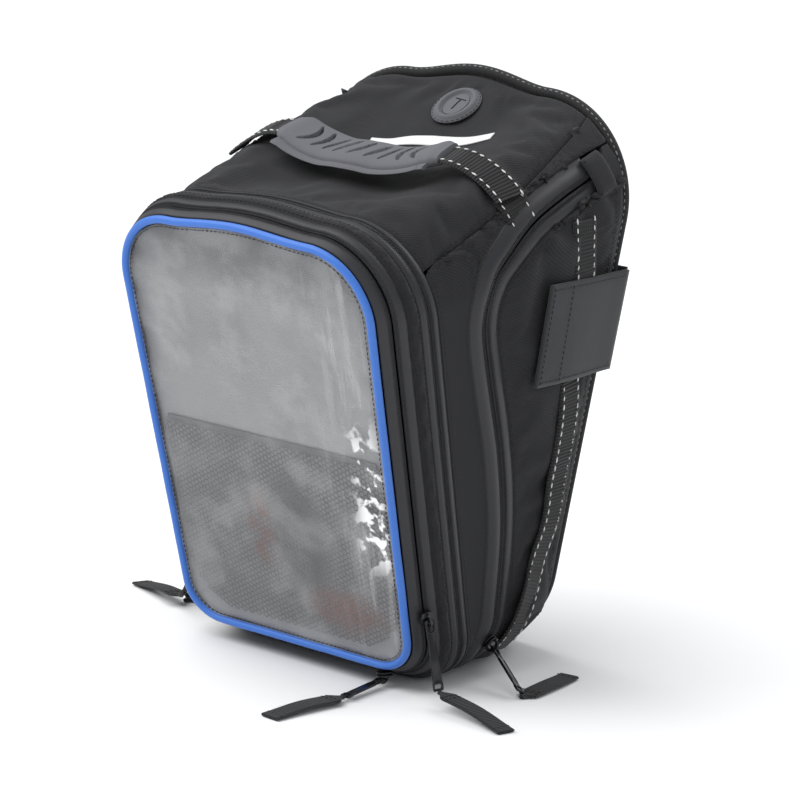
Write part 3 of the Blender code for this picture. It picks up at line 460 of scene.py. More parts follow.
BOARD = MouldedFinish("stiffener_board", (0.05, 0.05, 0.05), 0.8, grain=0.1 * MM)
DIE_CAST = MouldedFinish("black_die_casting", (0.02, 0.02, 0.022), 0.3, 0.85, 0.5, 0.03 * MM)
PIPING = ClothFinish("blue_piping", (0.045, 0.16, 0.55), Weave.SATIN, 0.8 * MM, 0.04 * MM, 0.42, 0.12, 0.1)
PALE_STRIP = MouldedFinish("pale_reflective_strip", (0.86, 0.86, 0.85), 0.35, grain=0.05 * MM)
MESH_CORD = MouldedFinish("grey_mesh_cord", (0.11, 0.11, 0.113), 0.7)
FILM = FilmFinish("clear_vinyl_film", (0.5, 0.505, 0.515), 0.14, 0.2)
BACKING = BackingFinish("grey_backing_cloth", (0.28, 0.285, 0.29), (0.3, 0.1, 0.07), (0.05, 0.05, 0.055))


# ---------------------------------------------------------------------------------------------
# The skin that every panel lies on


@dataclass(frozen=True)
class Outline:
    """Right half of a rounded trapezoid that stands on Z = 0.

    The parameter k runs 0..1 along the bottom, 1..2 round the bottom corner, 2..3 up the side,
    3..4 round the top corner and 4..5 to the middle of the crowned top.
    """

    half_bottom: float
    half_top: float
    height: float
    bottom_radius: float
    top_radius: float
    crown: float

    def point(self, k: float) -> Vector:
        """Place of k as (x, z)."""
        lean = math.atan2(self.height, self.half_top - self.half_bottom)
        bottom_cut = self.bottom_radius * math.tan(lean / 2)
        top_cut = self.top_radius * math.tan((math.pi - lean) / 2)
        side = Vector((math.cos(lean), math.sin(lean)))
        if k <= 1:
            return Vector(((self.half_bottom - bottom_cut) * k, 0))
        if k <= 2:
            turn = (k - 1) * lean
            across = self.half_bottom - bottom_cut + self.bottom_radius * math.sin(turn)
            return Vector((across, self.bottom_radius * (1 - math.cos(turn))))
        if k <= 3:
            low = Vector((self.half_bottom, 0)) + side * bottom_cut
            high = Vector((self.half_top, self.height)) - side * top_cut
            return low.lerp(high, k - 2)
        if k <= 4:
            turn = lean + (k - 3) * (math.pi - lean)
            across = self.half_top - top_cut + self.top_radius * math.sin(turn)
            return Vector((across, self.height - self.top_radius * (1 + math.cos(turn))))
        share = HALF_LOOP - k
        crown = self.crown * (1 - share * share) ** 2
        return Vector(((self.half_top - top_cut) * share, self.height + crown))

    def normal(self, k: float) -> Vector:
        """Outward direction at k as (x, z)."""
        step = 0.002
        along = self.point(min(k + step, HALF_LOOP)) - self.point(max(k - step, 0))
        return Vector((along.y, -along.x)).normalized()


BASE_OUTLINE = Outline(83 * MM, 133 * MM, 369 * MM, 60 * MM, 68 * MM, 8 * MM)
SEAM_OUTLINE = Outline(100 * MM, 114 * MM, 302 * MM, 38 * MM, 54 * MM, 4 * MM)
FRONT_OUTLINE = Outline(100 * MM, 109 * MM, 297 * MM, 38 * MM, 52 * MM, 4 * MM)


def fold(u: float) -> tuple[float, int]:
    """Turn the loop parameter u, 0..10 all the way round, into k and the side it is on."""
    u = u % (2 * HALF_LOOP)
    return (u, 1) if u <= HALF_LOOP else (2 * HALF_LOOP - u, -1)


def front_point(u: float, depth: float, inset: float = 0.0) -> Vector:
    """Skin of the front section, depth behind the map face, inset inwards from the skin.

    Args:
        u: place round the loop.
        depth: distance behind the map face.
        inset: distance inwards from the skin.

    Returns:
        The point.
    """
    k, side = fold(u)
    flat = FRONT_OUTLINE.point(k).lerp(SEAM_OUTLINE.point(k), depth / SEAM_DEPTH)
    sideways = smooth(k - 1)
    round_in = FRONT_INSET * (1 - smooth(depth / FRONT_INSET_RUN))
    lift = FOOT_LIFT * (1 - smooth(depth / FOOT_LIFT_RUN))
    flat = flat - FRONT_OUTLINE.normal(k) * (round_in * sideways + lift * (1 - sideways) + inset)
    return Vector((side * flat.x, FRONT_Y - LEAN * flat.y + depth, flat.y))


def wall_run(u: float) -> float:
    """Length of the skin from the expansion seam to the base, at u."""
    k, _ = fold(u)
    edge = BASE_OUTLINE.point(k)
    return (Vector((edge.x, BASE_Y, edge.y)) - front_point(k, SEAM_DEPTH)).length


def wall_point(u: float, share: float, rise: float = 0.0) -> Vector:
    """Skin between the expansion seam (share 0) and the base (share 1), raised outwards by rise.

    Args:
        u: place round the loop.
        share: share of the way from the seam to the base.
        rise: height above the skin.

    Returns:
        The point.
    """
    k, side = fold(u)
    edge = BASE_OUTLINE.point(k)
    place = front_point(k, SEAM_DEPTH).lerp(Vector((edge.x, BASE_Y, edge.y)), share)
    out = BASE_OUTLINE.normal(k)
    wave = math.sin(math.pi * min(max(share, 0), 1))
    top = smooth((k - 3.3) / 1.4)
    swell = BULGE * wave**2 * smooth(k - 1) * (1 - top) - SAG * wave * top + rise
    return Vector((side * (place.x + out.x * swell), place.y, place.z + out.y * swell))


def front_normal(u: float, depth: float) -> Vector:
    """Outward direction of the front section's skin.

    Args:
        u: place round the loop.
        depth: distance behind the map face.

    Returns:
        The unit direction.
    """
    step = 0.02
    along = front_point(u + step, depth) - front_point(u - step, depth)
    deep = front_point(u, depth + MM) - front_point(u, depth - MM)
    return deep.cross(along).normalized()


def wall_normal(u: float, share: float) -> Vector:
    """Outward direction of the wall's skin.

    Args:
        u: place round the loop.
        share: share of the way to the base.

    Returns:
        The unit direction.
    """
    step = 0.01
    along = wall_point(u + step, share) - wall_point(u - step, share)
    deep = wall_point(u, share + step) - wall_point(u, share - step)
    return deep.cross(along).normalized()


def share_from_base(u: float, distance: float) -> float:
    """Share of the wall that lies at a distance from the base."""
    return 1 - distance / wall_run(u)


class Perimeter:
    """Distances round the mean outline, both ways between k and metres."""

    def __init__(self, steps: int = 400) -> None:
        """Measure the mean outline at evenly spaced k."""
        self.places = [k * HALF_LOOP / steps for k in range(steps + 1)]
        points = [SEAM_OUTLINE.point(k).lerp(BASE_OUTLINE.point(k), 0.4) for k in self.places]
        self.lengths = [0.0]
        for before, after in zip(points, points[1:]):
            self.lengths.append(self.lengths[-1] + (after - before).length)

    @staticmethod
    def _read(value: float, xs: list[float], ys: list[float]) -> float:
        """Value of ys at a place in xs, on a straight line between their entries.

        Args:
            value: where to read.
            xs: rising places.
            ys: values at those places.

        Returns:
            The value there.
        """
        place = min(max(bisect.bisect_right(xs, value) - 1, 0), len(xs) - 2)
        share = (value - xs[place]) / (xs[place + 1] - xs[place])
        return ys[place] + (ys[place + 1] - ys[place]) * share

    def length_at(self, k: float) -> float:
        """Metres from the bottom middle to k."""
        return self._read(k, self.places, self.lengths)

    def k_at(self, length: float) -> float:
        """Parameter k at a distance from the bottom middle."""
        return self._read(length, self.lengths, self.places)


PERIMETER = Perimeter()


def through(points: Sequence[Vector], count: int) -> list[Vector]:
    """Smooth curve through points, as count + 1 samples evenly spaced by parameter.

    Args:
        points: points that the curve passes.
        count: number of steps.

    Returns:
        The samples.
    """
    ends = [2 * points[0] - points[1], *points, 2 * points[-1] - points[-2]]
    samples = []
    for step in range(count + 1):
        place = step / count * (len(points) - 1)
        index = min(int(place), len(points) - 2)
        t = place - index
        a, b, c, d = ends[index : index + 4]
        square = (2 * a - 5 * b + 4 * c - d) * t**2
        cube = (3 * b - a - 3 * c + d) * t**3
        samples.append(0.5 * (2 * b + (c - a) * t + square + cube))
    return samples


def even(points: Sequence[Vector], count: int) -> list[Vector]:
    """The same polyline with count + 1 points at equal distances.

    Args:
        points: corners of the polyline.
        count: number of steps.

    Returns:
        The new points.
    """
    total = [0.0]
    for before, after in zip(points, points[1:]):
        total.append(total[-1] + (after - before).length)
    result = []
    for step in range(count + 1):
        target = total[-1] * step / count
        place = min(max(bisect.bisect_right(total, target) - 1, 0), len(points) - 2)
        share = (target - total[place]) / max(total[place + 1] - total[place], 1e-9)
        result.append(points[place].lerp(points[place + 1], share))
    return result


def zip_line(count: int) -> list[Vector]:
    """The main zip's centre line as (perimeter, depth) points on the flattened wall."""
    points = [Vector((PERIMETER.length_at(k), share * wall_run(k))) for k, share in ZIP_PATH]
    return even(through(points, 96), count)


def beside(line: Sequence[Vector], distance: float) -> list[Vector]:
    """The line moved sideways: positive towards the lid, negative towards the base.

    Args:
        line: (perimeter, depth) points.
        distance: how far to move them.

    Returns:
        The moved line.
    """
    result = []
    for index, point in enumerate(line):
        before = line[max(index - 1, 0)]
        after = line[min(index + 1, len(line) - 1)]
        along = (after - before).normalized()
        result.append(point + Vector((along.y, -along.x)) * distance)
    return result


def on_wall(point: Vector, rise: float = 0.0, side: int = 1) -> Vector:
    """Place a (perimeter, depth) point of the flattened wall in space.

    Args:
        point: place on the flattened wall.
        rise: height above the skin.
        side: 1 for right, -1 for left.

    Returns:
        The point in space.
    """
    k = PERIMETER.k_at(point.x)
    place = wall_point(k, point.y / wall_run(k), rise)
    return Vector((side * place.x, place.y, place.z))


def in_front(x: float, z: float, depth: float) -> Vector:
    """Point on the leaning map face, depth behind it."""
    return Vector((x, FRONT_Y - LEAN * z + depth, z))


def k_where(measure: Callable[[float], float], target: float, low: float, high: float) -> float:
    """Find k between low and high where a rising measure reaches a target.

    Args:
        measure: rises with k.
        target: value to reach.
        low: lowest k.
        high: highest k.

    Returns:
        The parameter k.
    """
    for _ in range(30):
        middle = (low + high) / 2
        if measure(middle) < target:
            low = middle
        else:
            high = middle
    return low


def panel_frame(x: float, distance: float, rise: float = 0.0) -> Matrix:
    """Frame on the top panel: X along +X, Y up the slope, Z outwards.

    Args:
        x: place across the bag.
        distance: distance from the base.
        rise: height above the skin.

    Returns:
        The frame.
    """
    k = k_where(
        lambda at: -wall_point(at, share_from_base(at, distance)).x, -abs(x), 3.0, HALF_LOOP,
    )
    share = share_from_base(k, distance)
    place = wall_point(k, share)
    out = wall_normal(k, share)
    if x < 0:
        place.x = -place.x
        out.x = -out.x
    slope = Vector((0, 1, 0)) - out * out.y
    across = slope.cross(out).normalized()
    return frame_of(place + out * rise, across, out)


def frame_of(origin: Vector, along: Vector, out: Vector) -> Matrix:
    """Matrix with X along, Z out and its origin at a point.

    Args:
        origin: where it stands.
        along: direction of X.
        out: direction of Z, made square to X.

    Returns:
        The matrix.
    """
    along = Vector(along).normalized()
    across = Vector(out).cross(along).normalized()
    out = along.cross(across)
    rotation = Matrix((along, across, out)).transposed().to_4x4()
    return Matrix.Translation(Vector(origin)) @ rotation


# ---------------------------------------------------------------------------------------------
# Meshes


def linked(name: str, data: bpy.types.ID) -> bpy.types.Object:
    """New object of the scene."""
    item = bpy.data.objects.new(name, data)
    bpy.context.scene.collection.objects.link(item)
    return item


def dress(item: bpy.types.Object, finish: Finish) -> None:
    """Give an object one material."""
    item.data.materials.clear()
    item.data.materials.append(finish.material())


def add_piece(
    name: str, mesh: bpy.types.Mesh, finish: Finish, flat: bool = False, crease: float = 0.0,
) -> bpy.types.Object:
    """Link a mesh that is given in world coordinates, shade it and dress it.

    Args:
        name: the piece's name.
        mesh: its mesh.
        finish: what it is made of.
        flat: True for flat faces.
        crease: angle in degrees past which an edge of a smooth mesh stays sharp, or 0.

    Returns:
        The piece.
    """
    item = linked(name, mesh)
    if not flat:
        mesh.shade_smooth()
    dress(item, finish)
    if crease:
        mesh.set_sharp_from_angle(angle=math.radians(crease))
    return item


def mesh_of(name: str, points: Sequence, faces: Sequence, corners: Sequence = ()) -> bpy.types.Mesh:
    """Mesh from points and faces.

    Args:
        name: the mesh's name.
        points: coordinates.
        faces: rows of point numbers.
        corners: places on the UV map for each corner of each face, as one flat row.

    Returns:
        The mesh.
    """
    mesh = bpy.data.meshes.new(name)
    mesh.from_pydata([tuple(point) for point in points], [], [tuple(face) for face in faces])
    mesh.update()
    if len(corners):
        uv = mesh.uv_layers.new(name="cloth")
        uv.data.foreach_set("uv", np.array(corners, np.float32))
    return mesh


@contextmanager
def edited(mesh: bpy.types.Mesh) -> Iterator[bmesh.types.BMesh]:
    """Open a mesh for editing and write it back."""
    shape = bmesh.new()
    shape.from_mesh(mesh)
    yield shape
    shape.to_mesh(mesh)
    shape.free()


def face_outwards(mesh: bpy.types.Mesh) -> None:
    """Turn every face of a closed mesh outwards."""
    with edited(mesh) as shape:
        bmesh.ops.recalc_face_normals(shape, faces=shape.faces)


def hoop_faces(low: int, high: int, size: int) -> list[tuple[int, ...]]:
    """Faces between two rings of points, given the number of each one's first point."""
    return [(low + i, low + (i + 1) % size, high + (i + 1) % size, high + i) for i in range(size)]


def end_caps(size: int, count: int) -> list[tuple[int, ...]]:
    """Faces that close the first and the last of a number of rings."""
    return [tuple(reversed(range(size))), tuple(range((count - 1) * size, count * size))]


def running(points: np.ndarray, axis: int) -> np.ndarray:
    """Mean distance travelled along an axis of a grid of points, from its first row or column."""
    steps = np.linalg.norm(np.diff(points, axis=axis), axis=2).mean(axis=1 - axis)
    return np.concatenate([[0.0], np.cumsum(steps)])


def grid_mesh(name: str, points: np.ndarray, closed: bool) -> bpy.types.Mesh:
    """Sheet from rows of points, with a UV map in metres.

    Args:
        name: the mesh's name.
        points: rows, columns and coordinates, rows from front to back.
        closed: True where the last column joins the first.

    Returns:
        The mesh, with its faces pointing out of the bag.
    """
    rows, columns = points.shape[:2]
    looped = np.concatenate([points, points[:, :1]], axis=1) if closed else points
    across, deep = running(looped, 1), running(points, 0)
    faces, corners = [], []
    for row in range(rows - 1):
        near, far = row * columns, (row + 1) * columns
        for index in range(columns if closed else columns - 1):
            after = (index + 1) % columns
            faces.append((near + index, far + index, far + after, near + after))
            here, there = across[index], across[index + 1]
            corners += [here, deep[row], here, deep[row + 1], there, deep[row + 1], there, deep[row]]
    return mesh_of(name, points.reshape(-1, 3), faces, corners)


def tube_mesh(name: str, path: np.ndarray, section: Callable[[float], list], closed: bool) -> bpy.types.Mesh:
    """Tube that follows a path.

    Args:
        name: the mesh's name.
        path: points, each with the out direction of its section after its place.
        section: gives the (across, out) points of the section at a share of the way along.
        closed: True for a ring.

    Returns:
        The mesh, capped where it isn't a ring, with a UV map in metres.
    """
    count = len(path)
    places, outs = path[:, :3], path[:, 3:]
    if closed:
        along = np.roll(places, -1, 0) - np.roll(places, 1, 0)
    else:
        along = np.gradient(places, axis=0)
    along /= np.linalg.norm(along, axis=1, keepdims=True)
    across = np.cross(outs, along)
    across /= np.linalg.norm(across, axis=1, keepdims=True)
    up = np.cross(along, across)
    rings = []
    for index in range(count):
        flat = np.array(section(index / max(count - 1, 1)))
        rings.append(places[index] + np.outer(flat[:, 0], across[index]) + np.outer(flat[:, 1], up[index]))
    points = np.array(rings)
    size = points.shape[1]
    looped = np.concatenate([points, points[:, :1]], axis=1)
    full = np.concatenate([looped, looped[:1]], axis=0) if closed else looped
    around, ahead = running(full, 1), running(full, 0)
    faces, corners = [], []
    for ring in range(count if closed else count - 1):
        low, high = ring * size, ((ring + 1) % count) * size
        for index in range(size):
            after = (index + 1) % size
            faces.append((low + index, low + after, high + after, high + index))
            a, b = around[index], around[index + 1]
            corners += [a, ahead[ring], b, ahead[ring], b, ahead[ring + 1], a, ahead[ring + 1]]
    if not closed:
        faces += end_caps(size, count)
        corners += [0.0, 0.0] * (2 * size)
    mesh = mesh_of(name, points.reshape(-1, 3), faces, corners)
    face_outwards(mesh)
    return mesh


def round_section(radius: float, sides: int = 14) -> list[tuple[float, float]]:
    """Circle of a radius."""
    turns = [2 * math.pi * side / sides for side in range(sides)]
    return [(radius * math.cos(turn), radius * math.sin(turn)) for turn in turns]


def strap_section(width: float, thickness: float, sides: int = 10) -> list[tuple[float, float]]:
    """Flat strap with rounded edges.

    Args:
        width: the strap's width.
        thickness: its thickness.
        sides: number of steps across.

    Returns:
        (across, out) points.
    """
    half, edge = width / 2, thickness / 2
    points = []
    for end in (1, -1):
        points += [(end * (half - edge), -end * edge), (end * half, 0), (end * (half - edge), end * edge)]
        span = [end * (half - edge) * (1 - 2 * step / sides) for step in range(1, sides)]
        points += [(across, end * edge) for across in span]
    return points


def plate_mesh(name: str, rings: Sequence[Sequence[Vector]]) -> bpy.types.Mesh:
    """Closed plate from rings of equal counts, whose first and last are filled in.

    Args:
        name: the mesh's name.
        rings: rings of points from the front face's inside, over the edge, to the back's.

    Returns:
        The mesh, with its faces pointing out.
    """
    size = len(rings[0])
    points = [point for ring in rings for point in ring]
    faces = []
    for ring in range(len(rings) - 1):
        faces += hoop_faces(ring * size, (ring + 1) * size, size)
    mesh = mesh_of(name, points, faces + end_caps(size, len(rings)))
    with edited(mesh) as shape:
        bmesh.ops.triangulate(shape, faces=[face for face in shape.faces if len(face.verts) > 4])
        bmesh.ops.recalc_face_normals(shape, faces=shape.faces)
    return mesh


def joined(name: str, meshes: Sequence[bpy.types.Mesh]) -> bpy.types.Mesh:
    """One mesh that holds several.

    Args:
        name: the new mesh's name.
        meshes: what it holds.

    Returns:
        The mesh.
    """
    result = bpy.data.meshes.new(name)
    shape = bmesh.new()
    for mesh in meshes:
        shape.from_mesh(mesh)
    shape.to_mesh(result)
    shape.free()
    return result


def cast_shape(name: str, rim: Sequence, holes: Sequence, thickness: float, bevel: float) -> bpy.types.Mesh:
    """Flat casting: an outline with holes, thickened to both sides of Z = 0 and rounded.

    Args:
        name: the mesh's name.
        rim: (x, y) points of the outline.
        holes: outlines of the holes.
        thickness: the finished thickness.
        bevel: radius of the rounded edges.

    Returns:
        The mesh, with its seams closed.
    """
    curve = bpy.data.curves.new(name, "CURVE")
    curve.dimensions = "2D"
    curve.fill_mode = "BOTH"
    curve.extrude = thickness / 2 - bevel
    curve.bevel_depth = bevel
    curve.bevel_resolution = 1
    curve.offset = -bevel
    for outline in (rim, *holes):
        spline = curve.splines.new("POLY")
        spline.points.add(len(outline) - 1)
        for target, (x, y) in zip(spline.points, outline):
            target.co = (x, y, 0, 1)
        spline.use_cyclic_u = True
    guide = linked(name, curve)
    bpy.context.view_layer.update()
    graph = bpy.context.evaluated_depsgraph_get()
    mesh = bpy.data.meshes.new_from_object(guide.evaluated_get(graph))
    bpy.data.objects.remove(guide, do_unlink=True)
    with edited(mesh) as shape:
        bmesh.ops.remove_doubles(shape, verts=shape.verts, dist=1e-6)
        bmesh.ops.recalc_face_normals(shape, faces=shape.faces)
    return mesh


def rounded_box(width: float, height: float, radius: float, centre: tuple = (0, 0)) -> list:
    """(x, y) points of a rectangle with round corners.

    Args:
        width: size along x.
        height: size along y.
        radius: radius of the corners.
        centre: its middle.

    Returns:
        The points in order.
    """
    points = []
    for corner, (sx, sy) in enumerate(((1, 1), (-1, 1), (-1, -1), (1, -1))):
        for step in range(5):
            turn = math.pi / 2 * (corner + step / 4)
            x = centre[0] + sx * (width / 2 - radius) + radius * math.cos(turn)
            y = centre[1] + sy * (height / 2 - radius) + radius * math.sin(turn)
            points.append((x, y))
    return points


# ---------------------------------------------------------------------------------------------
# Rows of stitches, coil ridges, studs and mesh cells


class Grain(Enum):
    """Shape that a row or a field repeats."""

    BEAD = "bead"
    CELL = "cell"


def grain_tree(grain: Grain, along_path: bool) -> bpy.types.NodeTree:
    """Geometry Nodes tree that repeats one small shape.

    Args:
        grain: the shape that is repeated.
        along_path: True to space the shapes along the mesh's edges, False for one a vertex.

    Returns:
        The tree, with inputs Spacing, Size, Variation, Seed and Finish.
    """
    name = f"{grain.value}_{'row' if along_path else 'field'}"
    if name in bpy.data.node_groups:
        return bpy.data.node_groups[name]
    tree = bpy.data.node_groups.new(name, "GeometryNodeTree")
    tree.interface.new_socket("Geometry", in_out="INPUT", socket_type="NodeSocketGeometry")
    for title, kind in (
        ("Spacing", "NodeSocketFloat"), ("Size", "NodeSocketVector"), ("Variation", "NodeSocketFloat"),
        ("Seed", "NodeSocketInt"), ("Finish", "NodeSocketMaterial"),
    ):
        tree.interface.new_socket(title, in_out="INPUT", socket_type=kind)
    tree.interface.new_socket("Geometry", in_out="OUTPUT", socket_type="NodeSocketGeometry")

    def node(kind: str, settings: dict, links: dict) -> bpy.types.Node:
        """Add a node, with values or output sockets for its inputs."""
        made = tree.nodes.new(kind)
        for key, value in settings.items():
            setattr(made, key, value)
        for key, value in links.items():
            if isinstance(value, bpy.types.NodeSocket):
                tree.links.new(value, made.inputs[key])
            else:
                made.inputs[key].default_value = value
        return made

    given = node("NodeGroupInput", {}, {}).outputs
    up = node("GeometryNodeInputNamedAttribute", {"data_type": "FLOAT_VECTOR"}, {"Name": "up"})
    if along_path:
        curve = node("GeometryNodeMeshToCurve", {}, {"Mesh": given["Geometry"]})
        points = node(
            "GeometryNodeResampleCurve", {"mode": "LENGTH"},
            {"Curve": curve.outputs[0], "Length": given["Spacing"]},
        ).outputs[0]
        forward = node("GeometryNodeInputTangent", {}, {}).outputs[0]
    else:
        points = given["Geometry"]
        forward = node(
            "GeometryNodeInputNamedAttribute", {"data_type": "FLOAT_VECTOR"}, {"Name": "ahead"},
        ).outputs[0]
    turn = node(
        "FunctionNodeAxesToRotation", {"primary_axis": "Z", "secondary_axis": "X"},
        {"Primary Axis": up.outputs[0], "Secondary Axis": forward},
    )
    if grain is Grain.BEAD:
        shape = node("GeometryNodeMeshUVSphere", {}, {"Segments": 6, "Rings": 4, "Radius": 1.0}).outputs[0]
    else:
        ring = node("GeometryNodeCurvePrimitiveCircle", {}, {"Resolution": 6, "Radius": 1.0})
        cord = node("GeometryNodeCurvePrimitiveCircle", {}, {"Resolution": 4, "Radius": 0.2})
        shape = node(
            "GeometryNodeCurveToMesh", {}, {"Curve": ring.outputs[0], "Profile Curve": cord.outputs[0]},
        ).outputs[0]
    shape = node("GeometryNodeSetShadeSmooth", {}, {"Geometry": shape}).outputs[0]
    spread = node(
        "FunctionNodeRandomValue", {"data_type": "FLOAT"},
        {2: -1.0, 3: 1.0, "Seed": given["Seed"]},
    )
    change = node(
        "ShaderNodeMath", {"operation": "MULTIPLY_ADD"},
        {0: spread.outputs[1], 1: given["Variation"], 2: 1.0},
    )
    size = node(
        "ShaderNodeVectorMath", {"operation": "SCALE"},
        {0: given["Size"], "Scale": change.outputs[0]},
    )
    placed = node(
        "GeometryNodeInstanceOnPoints", {},
        {"Points": points, "Instance": shape, "Rotation": turn.outputs[0], "Scale": size.outputs[0]},
    )
    real = node("GeometryNodeRealizeInstances", {}, {"Geometry": placed.outputs[0]})
    dressed = node(
        "GeometryNodeSetMaterial", {}, {"Geometry": real.outputs[0], "Material": given["Finish"]},
    )
    node("NodeGroupOutput", {}, {"Geometry": dressed.outputs[0]})
    return tree


@dataclass(frozen=True)
class Repeat:
    """How a small shape is repeated: half sizes along, across and out, and the spacing."""

    size: tuple[float, float, float]
    spacing: float
    finish: Finish
    grain: Grain = Grain.BEAD
    variation: float = 0.08
    seed: int = 7

    def build(self, name: str, tracks: Sequence[np.ndarray], along_path: bool = True) -> bpy.types.Object:
        """Repeat the shape along tracks, or once at each point.

        Args:
            name: the piece's name.
            tracks: arrays of rows that hold a place and an out direction, and for single
                points also the direction ahead.
            along_path: True to space the shapes evenly along each track.

        Returns:
            A piece with a plain mesh.
        """
        points, edges, ups, aheads = [], [], [], []
        for track in tracks:
            first = len(points)
            points += [tuple(row[:3]) for row in track]
            ups += [tuple(row[3:6]) for row in track]
            if along_path:
                edges += [(first + index, first + index + 1) for index in range(len(track) - 1)]
            else:
                aheads += [tuple(row[6:9]) for row in track]
        mesh = bpy.data.meshes.new(name)
        mesh.from_pydata(points, edges, [])
        for title, values in (("up", ups), ("ahead", aheads)):
            if values:
                attribute = mesh.attributes.new(title, "FLOAT_VECTOR", "POINT")
                attribute.data.foreach_set("vector", np.array(values, np.float32).ravel())
        item = linked(name, mesh)
        modifier = item.modifiers.new("grains", "NODES")
        modifier.node_group = grain_tree(self.grain, along_path)
        values = {
            "Spacing": self.spacing, "Size": self.size, "Variation": self.variation,
            "Seed": self.seed, "Finish": self.finish.material(),
        }
        for socket in modifier.node_group.interface.items_tree:
            if socket.in_out == "INPUT" and socket.name in values:
                modifier[socket.identifier] = values[socket.name]
        bpy.context.view_layer.update()
        graph = bpy.context.evaluated_depsgraph_get()
        result = bpy.data.meshes.new_from_object(item.evaluated_get(graph))
        item.modifiers.clear()
        item.data = result
        return item


BLACK_STITCH = Repeat((1.3 * MM, 0.3 * MM, 0.28 * MM), 3.4 * MM, BLACK_THREAD)
PALE_STITCH = Repeat((2.0 * MM, 0.62 * MM, 0.45 * MM), 5.8 * MM, PALE_THREAD, variation=0.14)
BINDING_STITCH = Repeat((1.3 * MM, 0.42 * MM, 0.3 * MM), 4.4 * MM, GREY_THREAD, variation=0.3)
COIL_RIDGE = Repeat((0.36 * MM, 1.9 * MM, 0.34 * MM), 1.35 * MM, TAPE_RIDGE)
STUD = Repeat((2.2 * MM, 2.2 * MM, 0.9 * MM), 8 * MM, PAD_RUBBER)
MESH_CELL = Repeat((2.0 * MM, 2.0 * MM, 1.5 * MM), 0.0, MESH_CORD, Grain.CELL, 0.0)


def laid_on(track: np.ndarray, cloths: Sequence[bpy.types.Object], rise: float) -> np.ndarray:
    """Move a track's rows along their out directions onto finished cloth.

    Args:
        track: rows of a place and an out direction.
        cloths: the cloth pieces under the track.
        rise: height above the cloth.

    Returns:
        The track, with rows that miss the cloth left as they are.
    """
    trees = []
    for cloth in cloths:
        corners = [vertex.co.copy() for vertex in cloth.data.vertices]
        trees.append(BVHTree.FromPolygons(corners, [tuple(face.vertices) for face in cloth.data.polygons]))
    laid = track.copy()
    for row in laid:
        place, out = Vector(row[:3]), Vector(row[3:6])
        hits = [tree.ray_cast(place + out * 12 * MM, -out, 24 * MM)[0] for tree in trees]
        heights = [(hit - place).dot(out) for hit in hits if hit is not None]
        if heights:
            row[:3] = place + out * (max(heights) + rise)
    return laid


def eased(track: np.ndarray, passes: int = 6) -> np.ndarray:
    """The track with its places smoothed between its ends.

    Args:
        track: rows that start with a place.
        passes: how often to smooth.

    Returns:
        The smoothed track.
    """
    result = track.copy()
    for _ in range(passes):
        result[1:-1, :3] = (result[:-2, :3] + 2 * result[1:-1, :3] + result[2:, :3]) / 4
    return result


def track_of(points: Sequence[Vector], outs: Sequence[Vector]) -> np.ndarray:
    """Rows of a place and an out direction."""
    return np.array([[*point, *out] for point, out in zip(points, outs)], float)


def wall_track(line: Sequence[Vector], rise: float, side: int = 1, both: bool = False) -> np.ndarray:
    """Track on the wall along (perimeter, depth) points, on one side or carried over to both.

    Args:
        line: (perimeter, depth) points.
        rise: height above the skin.
        side: 1 for right, -1 for left.
        both: True to carry the track over X = 0.

    Returns:
        Rows of a place and an out direction.
    """
    rows = []
    for point in line:
        k = PERIMETER.k_at(point.x)
        share = point.y / wall_run(k)
        place, out = wall_point(k, share, rise), wall_normal(k, share)
        rows.append([side * place.x, place.y, place.z, side * out.x, out.y, out.z])
    track = np.array(rows)
    if both:
        track = np.concatenate([(track * (-1, 1, 1, -1, 1, 1))[:0:-1], track])
    return track


def front_track(depth: float, rise: float, start: float = 0.0, count: int = 420) -> np.ndarray:
    """Track round the front section at a depth, from u = start round to 10 - start.

    Args:
        depth: distance behind the map face.
        rise: height above the skin.
        start: gap at the foot, as u.
        count: number of steps.

    Returns:
        Rows of a place and an out direction.
    """
    span = [start + (2 * HALF_LOOP - 2 * start) * step / count for step in range(count + 1)]
    outs = [front_normal(u, depth) for u in span]
    return track_of([front_point(u, depth) + out * rise for u, out in zip(span, outs)], outs)


# ---------------------------------------------------------------------------------------------
# Cloth panels


